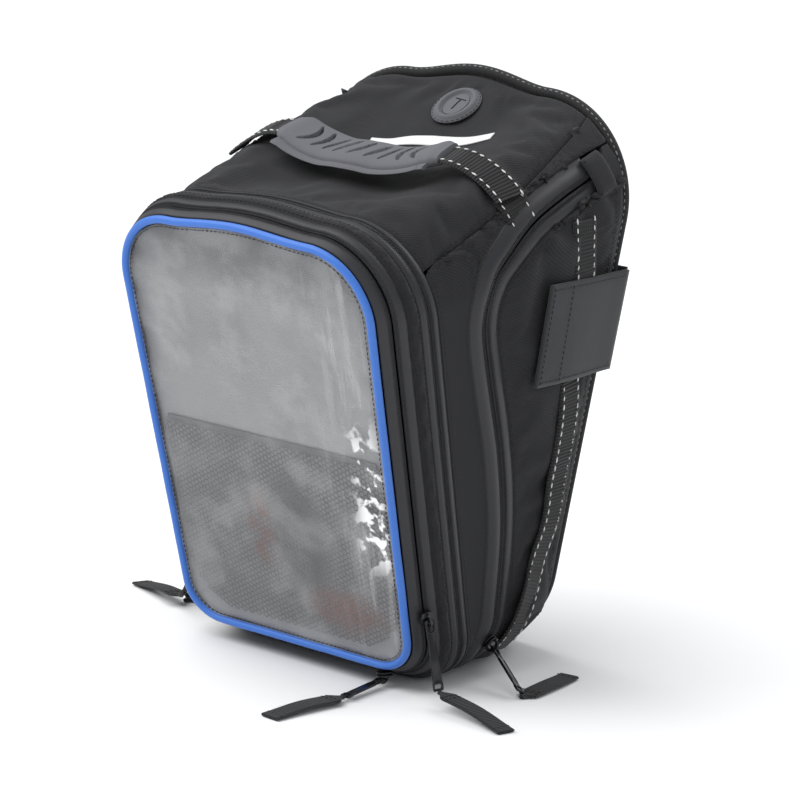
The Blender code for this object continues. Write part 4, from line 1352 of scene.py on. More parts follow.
@dataclass
class Panel:
    """Cloth laid on the skin as a grid of points, sewn down at its edges and puffed between them."""

    name: str
    points: np.ndarray
    finish: ClothFinish
    thickness: float
    closed: bool = False
    sink: float = 0.8 * MM
    seam: float = 3.0 * MM
    crown: float = 1.0 * MM
    crown_run: float = 16 * MM
    wrinkle: float = 0.5 * MM
    wrinkle_size: float = 34 * MM
    grow: float = 0.0
    reach: float = 3.0 * MM
    narrow: float = 0.0

    def outward(self) -> np.ndarray:
        """Direction out of the bag at each point."""
        deep = np.gradient(self.points, axis=0)
        if self.closed:
            along = np.roll(self.points, -1, 1) - np.roll(self.points, 1, 1)
        else:
            along = np.gradient(self.points, axis=1)
        out = np.cross(deep, along)
        return out / np.maximum(np.linalg.norm(out, axis=2, keepdims=True), 1e-12)

    def from_edge(self) -> np.ndarray:
        """Distance from each point to the nearest edge of the panel."""
        result = None
        for axis in (0,) if self.closed else (0, 1):
            steps = np.linalg.norm(np.diff(self.points, axis=axis), axis=2)
            pad = [(0, 0), (0, 0)]
            pad[axis] = (1, 0)
            ahead = np.cumsum(np.pad(steps, pad), axis=axis)
            total = ahead.max(axis=axis, keepdims=True)
            nearest = np.minimum(ahead, total - ahead)
            result = nearest if result is None else np.minimum(result, nearest)
        return result

    def calm(self) -> np.ndarray:
        """Share of the puffing that each column takes: none where the panel is narrow."""
        width = np.linalg.norm(np.diff(self.points, axis=0), axis=2).sum(axis=0)
        share = np.clip((width - self.narrow) / (self.narrow + MM), 0, 1)
        kernel = np.ones(9) / 9
        return np.convolve(np.pad(share, 4, mode="edge"), kernel, "valid")[None, :]

    def above_floor(self) -> None:
        """Keep every point just above the floor."""
        self.points[:, :, 2] = np.maximum(self.points[:, :, 2], 0.5 * MM)

    def puff(self) -> None:
        """Sink the edges into their seams, crown the middle and add soft folds."""
        edge, out = self.from_edge(), self.outward()
        lift = -self.sink * np.exp(-((edge / self.seam) ** 2))
        lift += self.crown * (1 - np.exp(-((edge / self.crown_run) ** 2)))
        if self.wrinkle:
            folds = np.zeros(edge.shape)
            for place in np.ndindex(edge.shape):
                x, y, z = self.points[place] / self.wrinkle_size
                broad = noise.noise(Vector((x * 0.8, y * 0.8, z * 0.55)))
                folds[place] = broad + 0.45 * noise.noise(Vector((x * 2.4 + 7, y * 2.4, z * 1.5)))
            lift += self.wrinkle * folds * np.clip(edge / (2 * self.seam), 0, 1)
        if self.narrow:
            lift *= self.calm()
        self.points = self.points + out * lift[:, :, None]
        self.above_floor()

    def settle(self, item: bpy.types.Object, held: np.ndarray) -> None:
        """Let the cloth buckle as a slightly larger piece sewn into the same seams.

        Args:
            item: the panel's object, whose mesh is changed.
            held: how firmly each point is held, from 0 to 1.
        """
        rest = self.points.reshape(-1, 3)
        group = item.vertex_groups.new(name="held")
        for level in range(1, 11):
            chosen = np.nonzero(np.round(held.ravel() * 10) == level)[0]
            if len(chosen):
                group.add(chosen.tolist(), level / 10, "REPLACE")
        modifier = item.modifiers.new("cloth", "CLOTH")
        settings = modifier.settings
        settings.quality = 4
        settings.mass = 0.3
        settings.tension_stiffness = 15
        settings.compression_stiffness = 15
        settings.shear_stiffness = 5
        settings.bending_stiffness = 6
        settings.shrink_min = -self.grow
        settings.vertex_group_mass = "held"
        settings.effector_weights.gravity = 0
        modifier.collision_settings.use_collision = False
        modifier.point_cache.frame_start = 1
        modifier.point_cache.frame_end = 20
        for step in range(1, 21):
            bpy.context.scene.frame_set(step)
        graph = bpy.context.evaluated_depsgraph_get()
        moved = np.empty(len(rest) * 3, np.float32)
        evaluated = item.evaluated_get(graph)
        evaluated.to_mesh().vertices.foreach_get("co", moved)
        evaluated.to_mesh_clear()
        shift = moved.reshape(-1, 3) - rest
        length = np.maximum(np.linalg.norm(shift, axis=1, keepdims=True), 1e-9)
        shift *= self.reach * np.tanh(length / self.reach) / length
        item.modifiers.remove(modifier)
        item.vertex_groups.clear()
        self.points = (rest + shift).reshape(self.points.shape)
        self.above_floor()
        item.data.vertices.foreach_set("co", self.points.astype(np.float32).ravel())
        item.data.update()
        bpy.context.scene.frame_set(1)

    def build(self, drop: Optional[Callable[[Vector], bool]] = None) -> bpy.types.Object:
        """Make the piece.

        Args:
            drop: says of a face's centre whether the face is left out, for a hole.

        Returns:
            The cloth, thickened inwards.
        """
        self.puff()
        item = add_piece(self.name, grid_mesh(self.name, self.points, self.closed), self.finish)
        if self.grow:
            held = np.exp(-((self.from_edge() / (2.4 * self.seam)) ** 4))
            self.settle(item, np.maximum(held, 1 - self.calm()) if self.narrow else held)
        if drop:
            with edited(item.data) as shape:
                gone = [face for face in shape.faces if drop(face.calc_center_median())]
                bmesh.ops.delete(shape, geom=gone, context="FACES")
        solid = item.modifiers.new("thickness", "SOLIDIFY")
        solid.thickness = self.thickness
        solid.offset = -1
        solid.use_even_offset = False
        solid.use_quality_normals = True
        return item


def mirrored(points: np.ndarray) -> np.ndarray:
    """Grid that starts at X = 0, carried on to the other side."""
    return np.concatenate([(points * (-1, 1, 1))[:, :0:-1], points], axis=1)


def wall_grid(near: Sequence[Vector], far: Sequence[Vector], rows: int, columns: int) -> np.ndarray:
    """Grid of points on the wall between two (perimeter, depth) lines of equal counts.

    Args:
        near: front line.
        far: rear line.
        rows: steps between them.
        columns: steps along them.

    Returns:
        Rows, columns and coordinates.
    """
    near, far = through(near, columns), through(far, columns)
    places = []
    for row in range(rows + 1):
        places.append([tuple(on_wall(a.lerp(b, row / rows))) for a, b in zip(near, far)])
    return np.array(places)


def front_grid(near: float, far: float, rows: int, columns: int, start: float = 0.0) -> np.ndarray:
    """Grid of points round the front section between two depths; start leaves a gap at the foot.

    Args:
        near: depth of the first row.
        far: depth of the last.
        rows: steps between them.
        columns: steps round.
        start: gap at the foot, as u.

    Returns:
        Rows, columns and coordinates.
    """
    span = 2 * HALF_LOOP - 2 * start
    last = columns if start else columns - 1
    stations = [start + span * step / columns for step in range(last + 1)]
    depths = [near + (far - near) * row / rows for row in range(rows + 1)]
    return np.array([[tuple(front_point(u, depth)) for u in stations] for depth in depths])


# ---------------------------------------------------------------------------------------------
# Sub-assemblies


@dataclass
class Assembly:
    """Sub-assembly whose pieces ride on a body of the frame."""

    body: str
    made: list[bpy.types.Object] = field(default_factory=list)
    cloth: list[bpy.types.Object] = field(default_factory=list)

    def place(self, item: bpy.types.Object, slot: str, *nodes: str, body: str = "") -> bpy.types.Object:
        """Tie a finished piece to its body and hide the CAD nodes it stands for.

        Args:
            item: the finished piece.
            slot: its material slot; not used.
            nodes: the CAD nodes that it stands for.
            body: its body, where it isn't the assembly's own.

        Returns:
            The piece.
        """
        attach(item, body or self.body)
        if nodes:
            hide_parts(*nodes)
        self.made.append(item)
        log.info("%s: %s rides on %s", type(self).__name__, item.name, body or self.body)
        return item

    def pad(self, item: bpy.types.Object, slot: str, node: str, fill: float = 0.5) -> None:
        """Place a padded piece that stands for a node, and keep it to lay other pieces on."""
        self.place(item, slot, node)
        self.cloth.append(item)

    def bridge(
        self, item: bpy.types.Object, slot: str, bodies: tuple[str, str], start: Sequence, end: Sequence,
    ) -> None:
        """Keep a piece that lies between two bodies, with its shape baked into world coordinates.

        Args:
            item: the finished piece.
            slot: its material slot; not used.
            bodies: the two bodies it lies between, named in the log.
            start: where the bend starts; not used.
            end: where the bend ends; not used.
        """
        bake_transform(item)
        self.made.append(item)
        log.info("%s: %s bends between %s and %s", type(self).__name__, item.name, *bodies)


@dataclass
class WallLines:
    """Lines on the flattened wall that the lid and the lower shell share."""

    count: int = 36
    zip_centre: list[Vector] = field(default_factory=list)
    lid_near: list[Vector] = field(default_factory=list)
    lid_far: list[Vector] = field(default_factory=list)
    base_near: list[Vector] = field(default_factory=list)
    base_far: list[Vector] = field(default_factory=list)
    seam: list[Vector] = field(default_factory=list)

    @staticmethod
    def at_base(k: float, distance: float = WALL_END) -> Vector:
        """Point of the wall at a distance from the base."""
        return Vector((PERIMETER.length_at(k), wall_run(k) - distance))

    def lay_out(self) -> None:
        """Work out every line from the zip's path and the shoulder seam."""
        line = zip_line(self.count)
        lid_side = beside(line, MAIN_TAPE_UPPER + SEAM_GAP / 2)
        base_side = beside(line, -MAIN_TAPE_LOWER - SEAM_GAP / 2)
        end_k = PERIMETER.k_at(line[-1].x)
        seam = [Vector((PERIMETER.length_at(k), share * wall_run(k))) for k, share in SHOULDER_SEAM]
        seam_line = even(through(seam, 30), 10)
        count = len(line)
        corner = self.at_base(end_k + 0.14)
        near_base = even([lid_side[-1], corner], 3)[1:]
        seam_end = self.at_base(SHOULDER_SEAM[-1][0]) - Vector((SEAM_GAP, 0))
        far = lid_side + near_base + even([corner, seam_end], 3)[1:]
        beside_seam = Vector((0.25 * SEAM_GAP, 0))
        near_end = seam_line[0] - beside_seam + Vector((0, SEAM_GAP))
        flat = [Vector((point.x, SEAM_GAP)) for point in line if point.x < near_end.x - 4 * MM]
        up_seam = even([near_end, *(point - beside_seam for point in seam_line[1:])], count)
        near = even(flat + up_seam[: count - 4], len(far) - 1)
        end = self.at_base(end_k + 0.125)
        upper = base_side + even([base_side[-1], end - Vector((0, 6 * MM))], 2)[1:]
        self.zip_centre = zip_line(180)
        self.lid_near = [Vector((point.x, max(point.y, SEAM_GAP))) for point in near]
        self.lid_far = far
        self.base_near = upper
        self.base_far = [
            Vector((point.x, self.at_base(PERIMETER.k_at(point.x), LOWER_WALL_END).y))
            for point in upper[:-1]
        ] + [end]
        self.seam = seam_line


def ribbed_strap(
    name: str, track: np.ndarray, width: float, thickness: float, finish: Finish,
) -> bpy.types.Object:
    """Webbing along a track, with cross ribs.

    Args:
        name: the piece's name.
        track: places and out directions along the middle of the strap.
        width: the strap's width.
        thickness: the strap's thickness.
        finish: what it is made of.

    Returns:
        The strap.
    """
    pitch = 2.6 * MM
    places = [Vector(row[:3]) for row in track]
    length = sum((after - before).length for before, after in zip(places, places[1:]))
    count = int(length / (pitch / 2))
    fine = even(places, count)
    ups = even([Vector(row[3:6]) for row in track], count)
    steps = iter(range(count + 1))

    def section(_: float) -> list[tuple[float, float]]:
        """Strap section, thicker on every other rib."""
        rib = 0.6 * MM if next(steps) % 2 else -0.5 * MM
        return strap_section(width, thickness + rib)

    rows = np.array([[*place, *up.normalized()] for place, up in zip(fine, ups)])
    return add_piece(name, tube_mesh(name, rows, section, False), finish, crease=50)


def beside_track(track: np.ndarray, offset: float, rise: float) -> np.ndarray:
    """Track moved sideways on its surface and raised.

    Args:
        track: rows of a place and an out direction.
        offset: distance sideways.
        rise: distance outwards.

    Returns:
        The moved track.
    """
    along = np.gradient(track[:, :3], axis=0)
    across = np.cross(track[:, 3:6], along)
    across /= np.linalg.norm(across, axis=1, keepdims=True)
    moved = track.copy()
    moved[:, :3] += across * offset + track[:, 3:6] * rise
    return moved


@dataclass
class LowerShell(Assembly):
    """Base, lower wall, side webbing and everything sewn to them."""

    lines: WallLines = field(default_factory=WallLines)
    stud_pitch: float = 9 * MM
    ring_count: int = 180

    def ring(self, inset: float, y: float) -> list[Vector]:
        """Base outline at an inset and a depth.

        Args:
            inset: distance inside the outline.
            y: depth of the ring.

        Returns:
            The ring's points.
        """
        points = []
        for step in range(self.ring_count):
            k, side = fold(2 * HALF_LOOP * step / self.ring_count)
            flat = BASE_OUTLINE.point(k) - BASE_OUTLINE.normal(k) * inset
            points.append(Vector((side * flat.x, y, flat.y)))
        return points

    def base(self) -> None:
        """Base panel, non-slip pad with its studs, and the edge binding."""
        insets = (
            (40, 61.6), (16, 61.6), (9.4, 62.4), (8.4, 63.4), (8.2, 68.6), (9, 69.6), (11, 70), (40, 69.9),
        )
        rings = [self.ring(inset * MM, y * MM) for inset, y in insets]
        panel = add_piece("base_panel_cloth", plate_mesh("base_panel_cloth", rings), TWILL_SOLID)
        self.place(panel, "twill", "base_panel")
        insets = ((60, 70.3), (30, 70.3), (30, 71.6), (30.6, 72.2), (31.6, 72.4), (60, 72.4))
        rings = [self.ring(inset * MM, y * MM) for inset, y in insets]
        pad = add_piece("nonslip_pad_sheet", plate_mesh("nonslip_pad_sheet", rings), PAD_RUBBER, True)
        self.place(pad, "nonslip_rubber", "nonslip_pad")
        rows = []
        for row in range(40):
            for column in range(-12, 13):
                x = (column + 0.5 * (row % 2)) * self.stud_pitch
                z = (row + 4) * self.stud_pitch * 0.87
                if self.inside(x, z, 36 * MM):
                    rows.append([x, 72.3 * MM, z, 0, 1, 0, 1, 0, 0])
        self.place(STUD.build("nonslip_pad_studs", [np.array(rows)], False), "nonslip_rubber")
        radius = BINDING_RADIUS
        path = []
        for step in range(360):
            k, side = fold(2 * HALF_LOOP * step / 360)
            flat = BASE_OUTLINE.point(k) - BASE_OUTLINE.normal(k) * radius
            out = BASE_OUTLINE.normal(k)
            path.append([side * flat.x, BASE_Y - radius, flat.y, side * out.x, 0, out.y])
        path = np.array(path)
        mesh = tube_mesh("base_binding_tape", path, lambda _: round_section(radius * 0.97, 16), True)
        self.place(add_piece("base_binding_tape", mesh, BINDING), "binding_tape", "base_binding")
        tilt = path.copy()
        tilt[:, 3:6] = tilt[:, 3:6] * 0.72 + np.array((0, -0.69, 0))
        tilt[:, :3] += tilt[:, 3:6] * radius * 0.98
        ring = np.concatenate([tilt, tilt[:1]])
        self.place(BINDING_STITCH.build("base_binding_stitches", [ring]), "webbing")

    @staticmethod
    def inside(x: float, z: float, inset: float) -> bool:
        """Whether a place on the base lies inside its outline by an inset.

        Args:
            x: place across.
            z: height.
            inset: distance to keep from the outline.

        Returns:
            True if it lies inside.
        """
        if not inset < z < BASE_OUTLINE.height - inset:
            return False
        low = BASE_OUTLINE.half_bottom
        half = low + (BASE_OUTLINE.half_top - low) * z / BASE_OUTLINE.height - inset
        for centre, radius in (
            (BASE_OUTLINE.bottom_radius, BASE_OUTLINE.bottom_radius),
            (BASE_OUTLINE.height - BASE_OUTLINE.top_radius, BASE_OUTLINE.top_radius),
        ):
            beyond = (centre - z) if centre < 0.2 else (z - centre)
            if beyond > 0:
                inner = radius - inset
                half += math.sqrt(max(inner**2 - beyond**2, 0)) - inner
        return abs(x) < half

    def wall(self) -> None:
        """Padded lower wall, its zip tape and the top stitching."""
        points = mirrored(wall_grid(self.lines.base_near, self.lines.base_far, 26, 190))
        panel = Panel(
            "lower_wall_cloth", points, TWILL, WALL - FIT_GAP, crown=1.6 * MM, wrinkle=1.1 * MM,
            grow=0.03, reach=3.5 * MM, narrow=32 * MM,
        )
        self.pad(panel.build(), "twill", "lower_wall")
        near = beside(self.lines.zip_centre, -SEAM_GAP / 2)
        far = beside(self.lines.zip_centre, -SEAM_GAP - MAIN_TAPE_LOWER)
        tape = Panel(
            "main_zip_tape_lower_cloth", mirrored(wall_grid(near, far, 8, 220)), SATIN_TAPE, TAPE,
            sink=0.5 * MM, seam=1.4 * MM, crown=0.6 * MM, crown_run=3 * MM, wrinkle=0.15 * MM,
        )
        self.place(tape.build(), "zip_tape", "main_zip_tape_lower")
        ridge = wall_track(beside(self.lines.zip_centre, -2.4 * MM), 0.45 * MM, both=True)
        self.place(COIL_RIDGE.build("main_zip_coil_lower", [ridge]), "zip_tape")
        stitch = wall_track(beside(self.lines.zip_centre, -MAIN_TAPE_LOWER - 3.4 * MM), 0.6 * MM, both=True)
        rim = [WallLines.at_base(k / 40) - Vector((0, 5 * MM)) for k in range(0, 133)]
        edge = wall_track(rim, 0.5 * MM, both=True)
        tracks = [laid_on(track, self.cloth, 0.05 * MM) for track in (stitch, edge)]
        self.place(BLACK_STITCH.build("lower_wall_stitches", tracks), "twill")

    def webbing(self, side: int, hand: str) -> None:
        """Load webbing from under the main zip down to the foot, with its reflective stitches.

        Args:
            side: 1 for right, -1 for left.
            hand: its name.
        """
        points = [Vector((PERIMETER.length_at(k), wall_run(k) - base)) for k, base in SIDE_WEBBING_PATH]
        line = even(through(points, 60), 60)
        track = wall_track(line, LAY_GAP + WEBBING_THICKNESS / 2, side)
        track = eased(laid_on(track, self.cloth, WEBBING_THICKNESS / 2 + 1.0 * MM))
        name = f"side_webbing_{hand}_strap"
        strap = ribbed_strap(name, track, WEBBING_WIDTH, WEBBING_THICKNESS, WEBBING)
        self.place(strap, "webbing", f"side_webbing_{hand}")
        above = WEBBING_THICKNESS / 2 + 0.35 * MM
        rows = [beside_track(track, offset, above) for offset in (-STITCH_OFFSET, STITCH_OFFSET)]
        self.place(PALE_STITCH.build(f"side_webbing_{hand}_stitches", rows), "webbing")

    def garage(self, side: int, hand: str) -> None:
        """Cloth cover over the zip's upper end.

        Args:
            side: 1 for right, -1 for left.
            hand: its name.
        """
        line = zip_line(36)
        along = (line[-1] - line[-3]).normalized()
        across = Vector((along.y, -along.x))
        start = line[-1] - along * 7 * MM
        rows = []
        for row in range(15):
            here = start + along * (20 * MM * row / 14)
            cells = []
            for column in range(25):
                share = column / 24
                edge = min(share, 1 - share)
                rise = FIT_GAP + 2 * TAPE + 1.6 * MM * math.sqrt(min(edge * 5, 1)) - 1.2 * MM
                cells.append(tuple(on_wall(here + across * 24 * MM * (0.5 - share), rise, side)))
            rows.append(cells[::-1] if side > 0 else cells)
        points = np.array(rows)
        panel = Panel(
            f"zip_garage_{hand}_cloth", points, TWILL, 1.6 * MM, sink=0.7 * MM, seam=1.5 * MM,
            crown=0.5 * MM, crown_run=4 * MM, wrinkle=0.2 * MM,
        )
        self.place(panel.build(), "twill", f"zip_garage_{hand}")
        ends = [start + across * offset + along * 2 * MM for offset in (-10 * MM, 10 * MM)]
        track = wall_track(ends, 4.6 * MM, side)
        self.place(BLACK_STITCH.build(f"zip_garage_{hand}_stitches", [track]), "twill")

    def fittings(self) -> None:
        """Hook patches, tab anchors and the hidden stiffening board."""
        for _, hand in SIDES:
            dress(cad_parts[f"hook_patch_{hand}"], HOOK_SOLID)
            dress(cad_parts[f"tab_anchor_{hand}"], TAB_SOLID)
        dress(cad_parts["base_board"], BOARD)

    def build(self) -> None:
        """Build every piece of the lower shell."""
        self.base()
        self.wall()
        for side, hand in SIDES:
            self.webbing(side, hand)
            self.garage(side, hand)
        self.fittings()


TWILL_SOLID = ClothFinish(
    "black_twill_solid", TWILL.colour, Weave.TWILL, 1.5 * MM, 0.22 * MM, on_surface=False,
)
HOOK_SOLID = ClothFinish(
    "hook_fastener_solid", HOOK_CLOTH.colour, Weave.PLAIN, 1.6 * MM, 0.4 * MM, on_surface=False,
)
TAB_SOLID = ClothFinish(
    "brushed_tab_solid", TAB_CLOTH.colour, Weave.LOOP, 0.9 * MM, 0.15 * MM, on_surface=False,
)


@dataclass
class WrapTab(Assembly):
    """Wide tab that wraps round from the base, with a sewn border."""

    side: int = 1
    hand: str = "right"
    low: float = 196 * MM
    height: float = 66 * MM
    length: float = 96 * MM
    thickness: float = 2.4 * MM

    def surface(self, z_share: float, distance: float, rise: float) -> tuple[Vector, Vector]:
        """Place and out direction on the tab at a share of its height and a distance from the base.

        Args:
            z_share: share of the tab's height.
            distance: distance from the base.
            rise: height above the skin.

        Returns:
            The place and the out direction.
        """
        z = self.low + self.height * z_share
        near = max(distance, 0)
        k = k_where(lambda at: wall_point(at, share_from_base(at, near)).z, z, 2.0, 3.6)
        share = share_from_base(k, distance)
        point, out = wall_point(k, share, rise), wall_normal(k, min(share, 0.99))
        return Vector((self.side * point.x, point.y, point.z)), Vector((self.side * out.x, out.y, out.z))

    def build(self) -> None:
        """Build the tab, its folded end and its stitches."""
        rise = 2 * LAY_GAP + WEBBING_THICKNESS + self.thickness
        rows = []
        for row in range(33):
            distance = self.length - (self.length - MM) * row / 32
            lift = rise + 0.7 * MM * math.sin(math.pi * row / 32) + 1.6 * MM * math.exp(-row / 2.5)
            line = [tuple(self.surface(step / 24, distance, lift)[0]) for step in range(25)]
            rows.append(line if self.side > 0 else line[::-1])
        panel = Panel(
            f"wrap_tab_{self.hand}_cloth", np.array(rows), TAB_CLOTH, self.thickness, sink=0.35 * MM,
            seam=2.0 * MM, crown=0.5 * MM, crown_run=6 * MM, wrinkle=0.25 * MM, wrinkle_size=28 * MM,
        )
        self.pad(panel.build(), "tab_cloth", f"wrap_tab_{self.hand}", fill=0.3)
        tracks = []
        inset, up = 3.2 * MM, 0.55 * MM
        low_share, high_share = inset / self.height, 1 - inset / self.height
        near, far = 6 * MM, self.length - inset
        for share in (low_share, high_share):
            places = [near + (far - near) * step / 24 for step in range(25)]
            pairs = [self.surface(share, place, rise + up + 0.5 * MM) for place in places]
            tracks.append(track_of(*zip(*pairs)))
        for distance in (far, self.length - 24 * MM):
            span = [low_share + (high_share - low_share) * step / 16 for step in range(17)]
            pairs = [self.surface(share, distance, rise + up + 0.9 * MM) for share in span]
            tracks.append(track_of(*zip(*pairs)))
        self.place(BLACK_STITCH.build(f"wrap_tab_{self.hand}_stitches", tracks), "tab_cloth")


@dataclass
class MainLid(Assembly):
    """Top panel and upper wall, with the cable port, the strip and half of each zip."""

    lines: WallLines = field(default_factory=WallLines)
    port_x: float = 8 * MM
    port_from_base: float = 40 * MM
    port_half: tuple[float, float] = (11 * MM, 15 * MM)

    def walls(self) -> None:
        """Padded upper wall and top panel."""
        points = mirrored(wall_grid(self.lines.lid_near, self.lines.lid_far, 24, 200))
        wall = Panel(
            "upper_wall_cloth", points, TWILL, WALL - FIT_GAP, crown=1.4 * MM, wrinkle=1.3 * MM,
            wrinkle_size=40 * MM, grow=0.03, reach=3.5 * MM, narrow=34 * MM,
        )
        self.pad(wall.build(), "twill", "upper_wall")
        rows = []
        for point in even(self.lines.seam, 64):
            share = min(max(point.y / wall_run(PERIMETER.k_at(point.x)), SEAM_GAP / wall_run(5)), 1)
            k = PERIMETER.k_at(point.x)
            limit = share_from_base(k, WALL_END)
            share = min(share, limit)
            span = [k + 2 * (HALF_LOOP - k) * step / 84 for step in range(85)]
            rows.append([tuple(wall_point(u, share)) for u in span])
            if share == limit:
                break
        panel = Panel(
            "top_panel_cloth", np.array(rows), TWILL, WALL - FIT_GAP, crown=1.5 * MM,
            wrinkle=1.6 * MM, wrinkle_size=46 * MM, grow=0.03, reach=3.5 * MM,
        )
        port = panel_frame(self.port_x, self.port_from_base).inverted()
        half = [size - 2.4 * MM for size in self.port_half]

        def in_port(centre: Vector) -> bool:
            """Whether a face lies in the cable port's hole."""
            flat = port @ centre
            return (flat.x / half[0]) ** 2 + (flat.y / half[1]) ** 2 < 1

        self.pad(panel.build(in_port), "twill", "top_panel")
        seam = [Vector((point.x + 3.4 * MM, point.y)) for point in self.lines.seam[1:-1]]
        right = wall_track(seam, 0.9 * MM)
        left = right * (-1, 1, 1, -1, 1, 1)
        along_zip = wall_track(
            beside(self.lines.zip_centre, MAIN_TAPE_UPPER + 3.4 * MM), 0.7 * MM, both=True,
        )
        front = wall_track(
            [Vector((PERIMETER.length_at(k / 40), 4 * MM)) for k in range(2, 200)], 0.6 * MM, both=True,
        )
        tracks = [laid_on(track, self.cloth, 0.05 * MM) for track in (right, left, along_zip, front)]
        stitches = BLACK_STITCH.build("main_lid_stitches", tracks)
        self.place(stitches, "twill")

    def zips(self) -> None:
        """The lid's half of the main zip and of the expansion zip."""
        near = beside(self.lines.zip_centre, MAIN_TAPE_UPPER + SEAM_GAP)
        far = beside(self.lines.zip_centre, SEAM_GAP / 2)
        tape = Panel(
            "main_zip_tape_upper_cloth", mirrored(wall_grid(near, far, 10, 220)), SATIN_TAPE, TAPE,
            sink=0.7 * MM, seam=1.6 * MM, crown=1.5 * MM, crown_run=4 * MM, wrinkle=0.25 * MM,
        )
        self.place(tape.build(), "zip_tape", "main_zip_tape_upper")
        ridge = wall_track(beside(self.lines.zip_centre, 2.4 * MM), 0.7 * MM, both=True)
        self.place(COIL_RIDGE.build("main_zip_coil_upper", [ridge]), "zip_tape")
        middle = SEAM_DEPTH - EXPANSION_BAND
        points = front_grid(middle + SEAM_GAP / 2, SEAM_DEPTH + 0.7 * MM, 6, 360)
        self.place(zip_tape("expansion_zip_tape_rear_cloth", points), "zip_tape", "expansion_zip_tape_rear")
        coil = COIL_RIDGE.build("expansion_zip_coil_rear", [front_track(middle + 2.3 * MM, 0.3 * MM)])
        self.place(coil, "zip_tape")

    def port(self) -> None:
        """Raised oval rim with a skirt round the slit membrane."""
        base = panel_frame(self.port_x, self.port_from_base)
        out = base.col[2].xyz
        half_x, half_y = self.port_half

        def oval(grow: float, height: float) -> list[Vector]:
            """Points of the oval, grown and raised."""
            turns = [2 * math.pi * step / 64 for step in range(64)]
            return [
                base @ Vector(((half_x + grow) * math.cos(t), (half_y + grow) * math.sin(t), height))
                for t in turns
            ]

        levels = (
            (4.2, 0.6), (4.0, 1.3), (2.6, 1.7), (1.9, 2.6), (1.0, 3.6), (0, 4.0), (-1.2, 3.7), (-1.9, 2.6),
            (-2.4, 2.0), (-3.5, 1.9), (-3.6, 0.9), (0, 0.5),
        )
        rings = [oval(grow * MM, height * MM) for grow, height in levels]
        faces = []
        for ring in range(len(rings)):
            faces += hoop_faces(ring * 64, (ring + 1) % len(rings) * 64, 64)
        mesh = mesh_of("cable_port_rim_ring", [point for ring in rings for point in ring], faces)
        face_outwards(mesh)
        self.place(add_piece("cable_port_rim_ring", mesh, RUBBER), "moulded_rubber", "cable_port_rim")
        dress(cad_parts["cable_port_membrane"], RUBBER)
        track = track_of([point for point in oval(3.2 * MM, 1.6 * MM)], [out] * 64)
        self.place(BLACK_STITCH.build("cable_port_stitches", [np.concatenate([track, track[:1]])]), "twill")

    def strip(self) -> None:
        """Pale reflective strip sewn across the top panel."""
        turn = math.radians(16)
        rows = []
        for row in range(9):
            edge = (row / 8 - 0.5) * 10 * MM
            cells = []
            for step in range(57):
                along = (step / 56 - 0.5) * 84 * MM
                x = 12 * MM + along * math.cos(turn) - edge * math.sin(turn)
                distance = 74 * MM - along * math.sin(turn) - edge * math.cos(turn)
                here = panel_frame(x, distance)
                cells.append([*here.translation, *here.col[2].xyz])
            rows.append(laid_on(np.array(cells), self.cloth, 1.1 * MM)[::-1, :3])
        panel = Panel(
            "reflective_strip_tape", np.array(rows), PALE_STRIP, 0.7 * MM, sink=0.3 * MM,
            seam=1.0 * MM, crown=0.4 * MM, crown_run=3 * MM, wrinkle=0.3 * MM, wrinkle_size=14 * MM,
        )
        self.place(panel.build(), "reflective", "reflective_strip")

    def handle_ends(self) -> None:
        """Webbing from the handle down over the shoulder, sewn in beside the main zip."""
        for side, hand in SIDES:
            rows = []
            first = k_where(
                lambda at: -wall_point(at, share_from_base(at, HANDLE_END_FROM_BASE)).x,
                -103 * MM, 3.0, HALF_LOOP,
            )
            for step in range(22):
                share = step / 21
                k = PERIMETER.k_at(PERIMETER.length_at(first) - 17 * MM * share)
                at = share_from_base(k, HANDLE_END_FROM_BASE - 5 * MM * share)
                point, out = wall_point(k, at), wall_normal(k, at)
                rows.append([side * point.x, point.y, point.z, side * out.x, out.y, out.z])
            track = eased(laid_on(np.array(rows), self.cloth, WEBBING_THICKNESS / 2 + 0.5 * MM))
            name = f"handle_end_{hand}_strap"
            self.place(ribbed_strap(name, track, WEBBING_WIDTH, WEBBING_THICKNESS, WEBBING), "webbing")
            pairs = [beside_track(track, offset, 0.95 * MM) for offset in (-STITCH_OFFSET, STITCH_OFFSET)]
            self.place(PALE_STITCH.build(f"handle_end_{hand}_stitches", pairs), "webbing")

    def hinge_cloth(self) -> None:
        """Cloth between the lid's top edge and the base binding."""
        rows = []
        for row in range(9):
            share = row / 8
            cells = []
            for step in range(121):
                u = 3.7 + 2.6 * step / 120
                distance = (WALL_END + 2.5 * MM) * (1 - share) + 5 * MM * share
                cells.append(tuple(wall_point(u, share_from_base(u, distance), -2.6 * MM - 0.8 * MM * share)))
            rows.append(cells)
        panel = Panel(
            "lid_hinge_cloth", np.array(rows), TWILL, 1.2 * MM, sink=0, crown=0.3 * MM,
            crown_run=4 * MM, wrinkle=0.2 * MM,
        )
        start, end = (0, BASE_Y - 5.5 * MM, 0.36), (0, BASE_Y - 13 * MM, 0.36)
        self.bridge(panel.build(), "twill", ("lower_shell", "main_lid"), start, end)

    def build(self) -> None:
        """Build every piece of the lid."""
        self.walls()
        self.zips()
        self.port()
        self.strip()
        self.handle_ends()
        self.hinge_cloth()


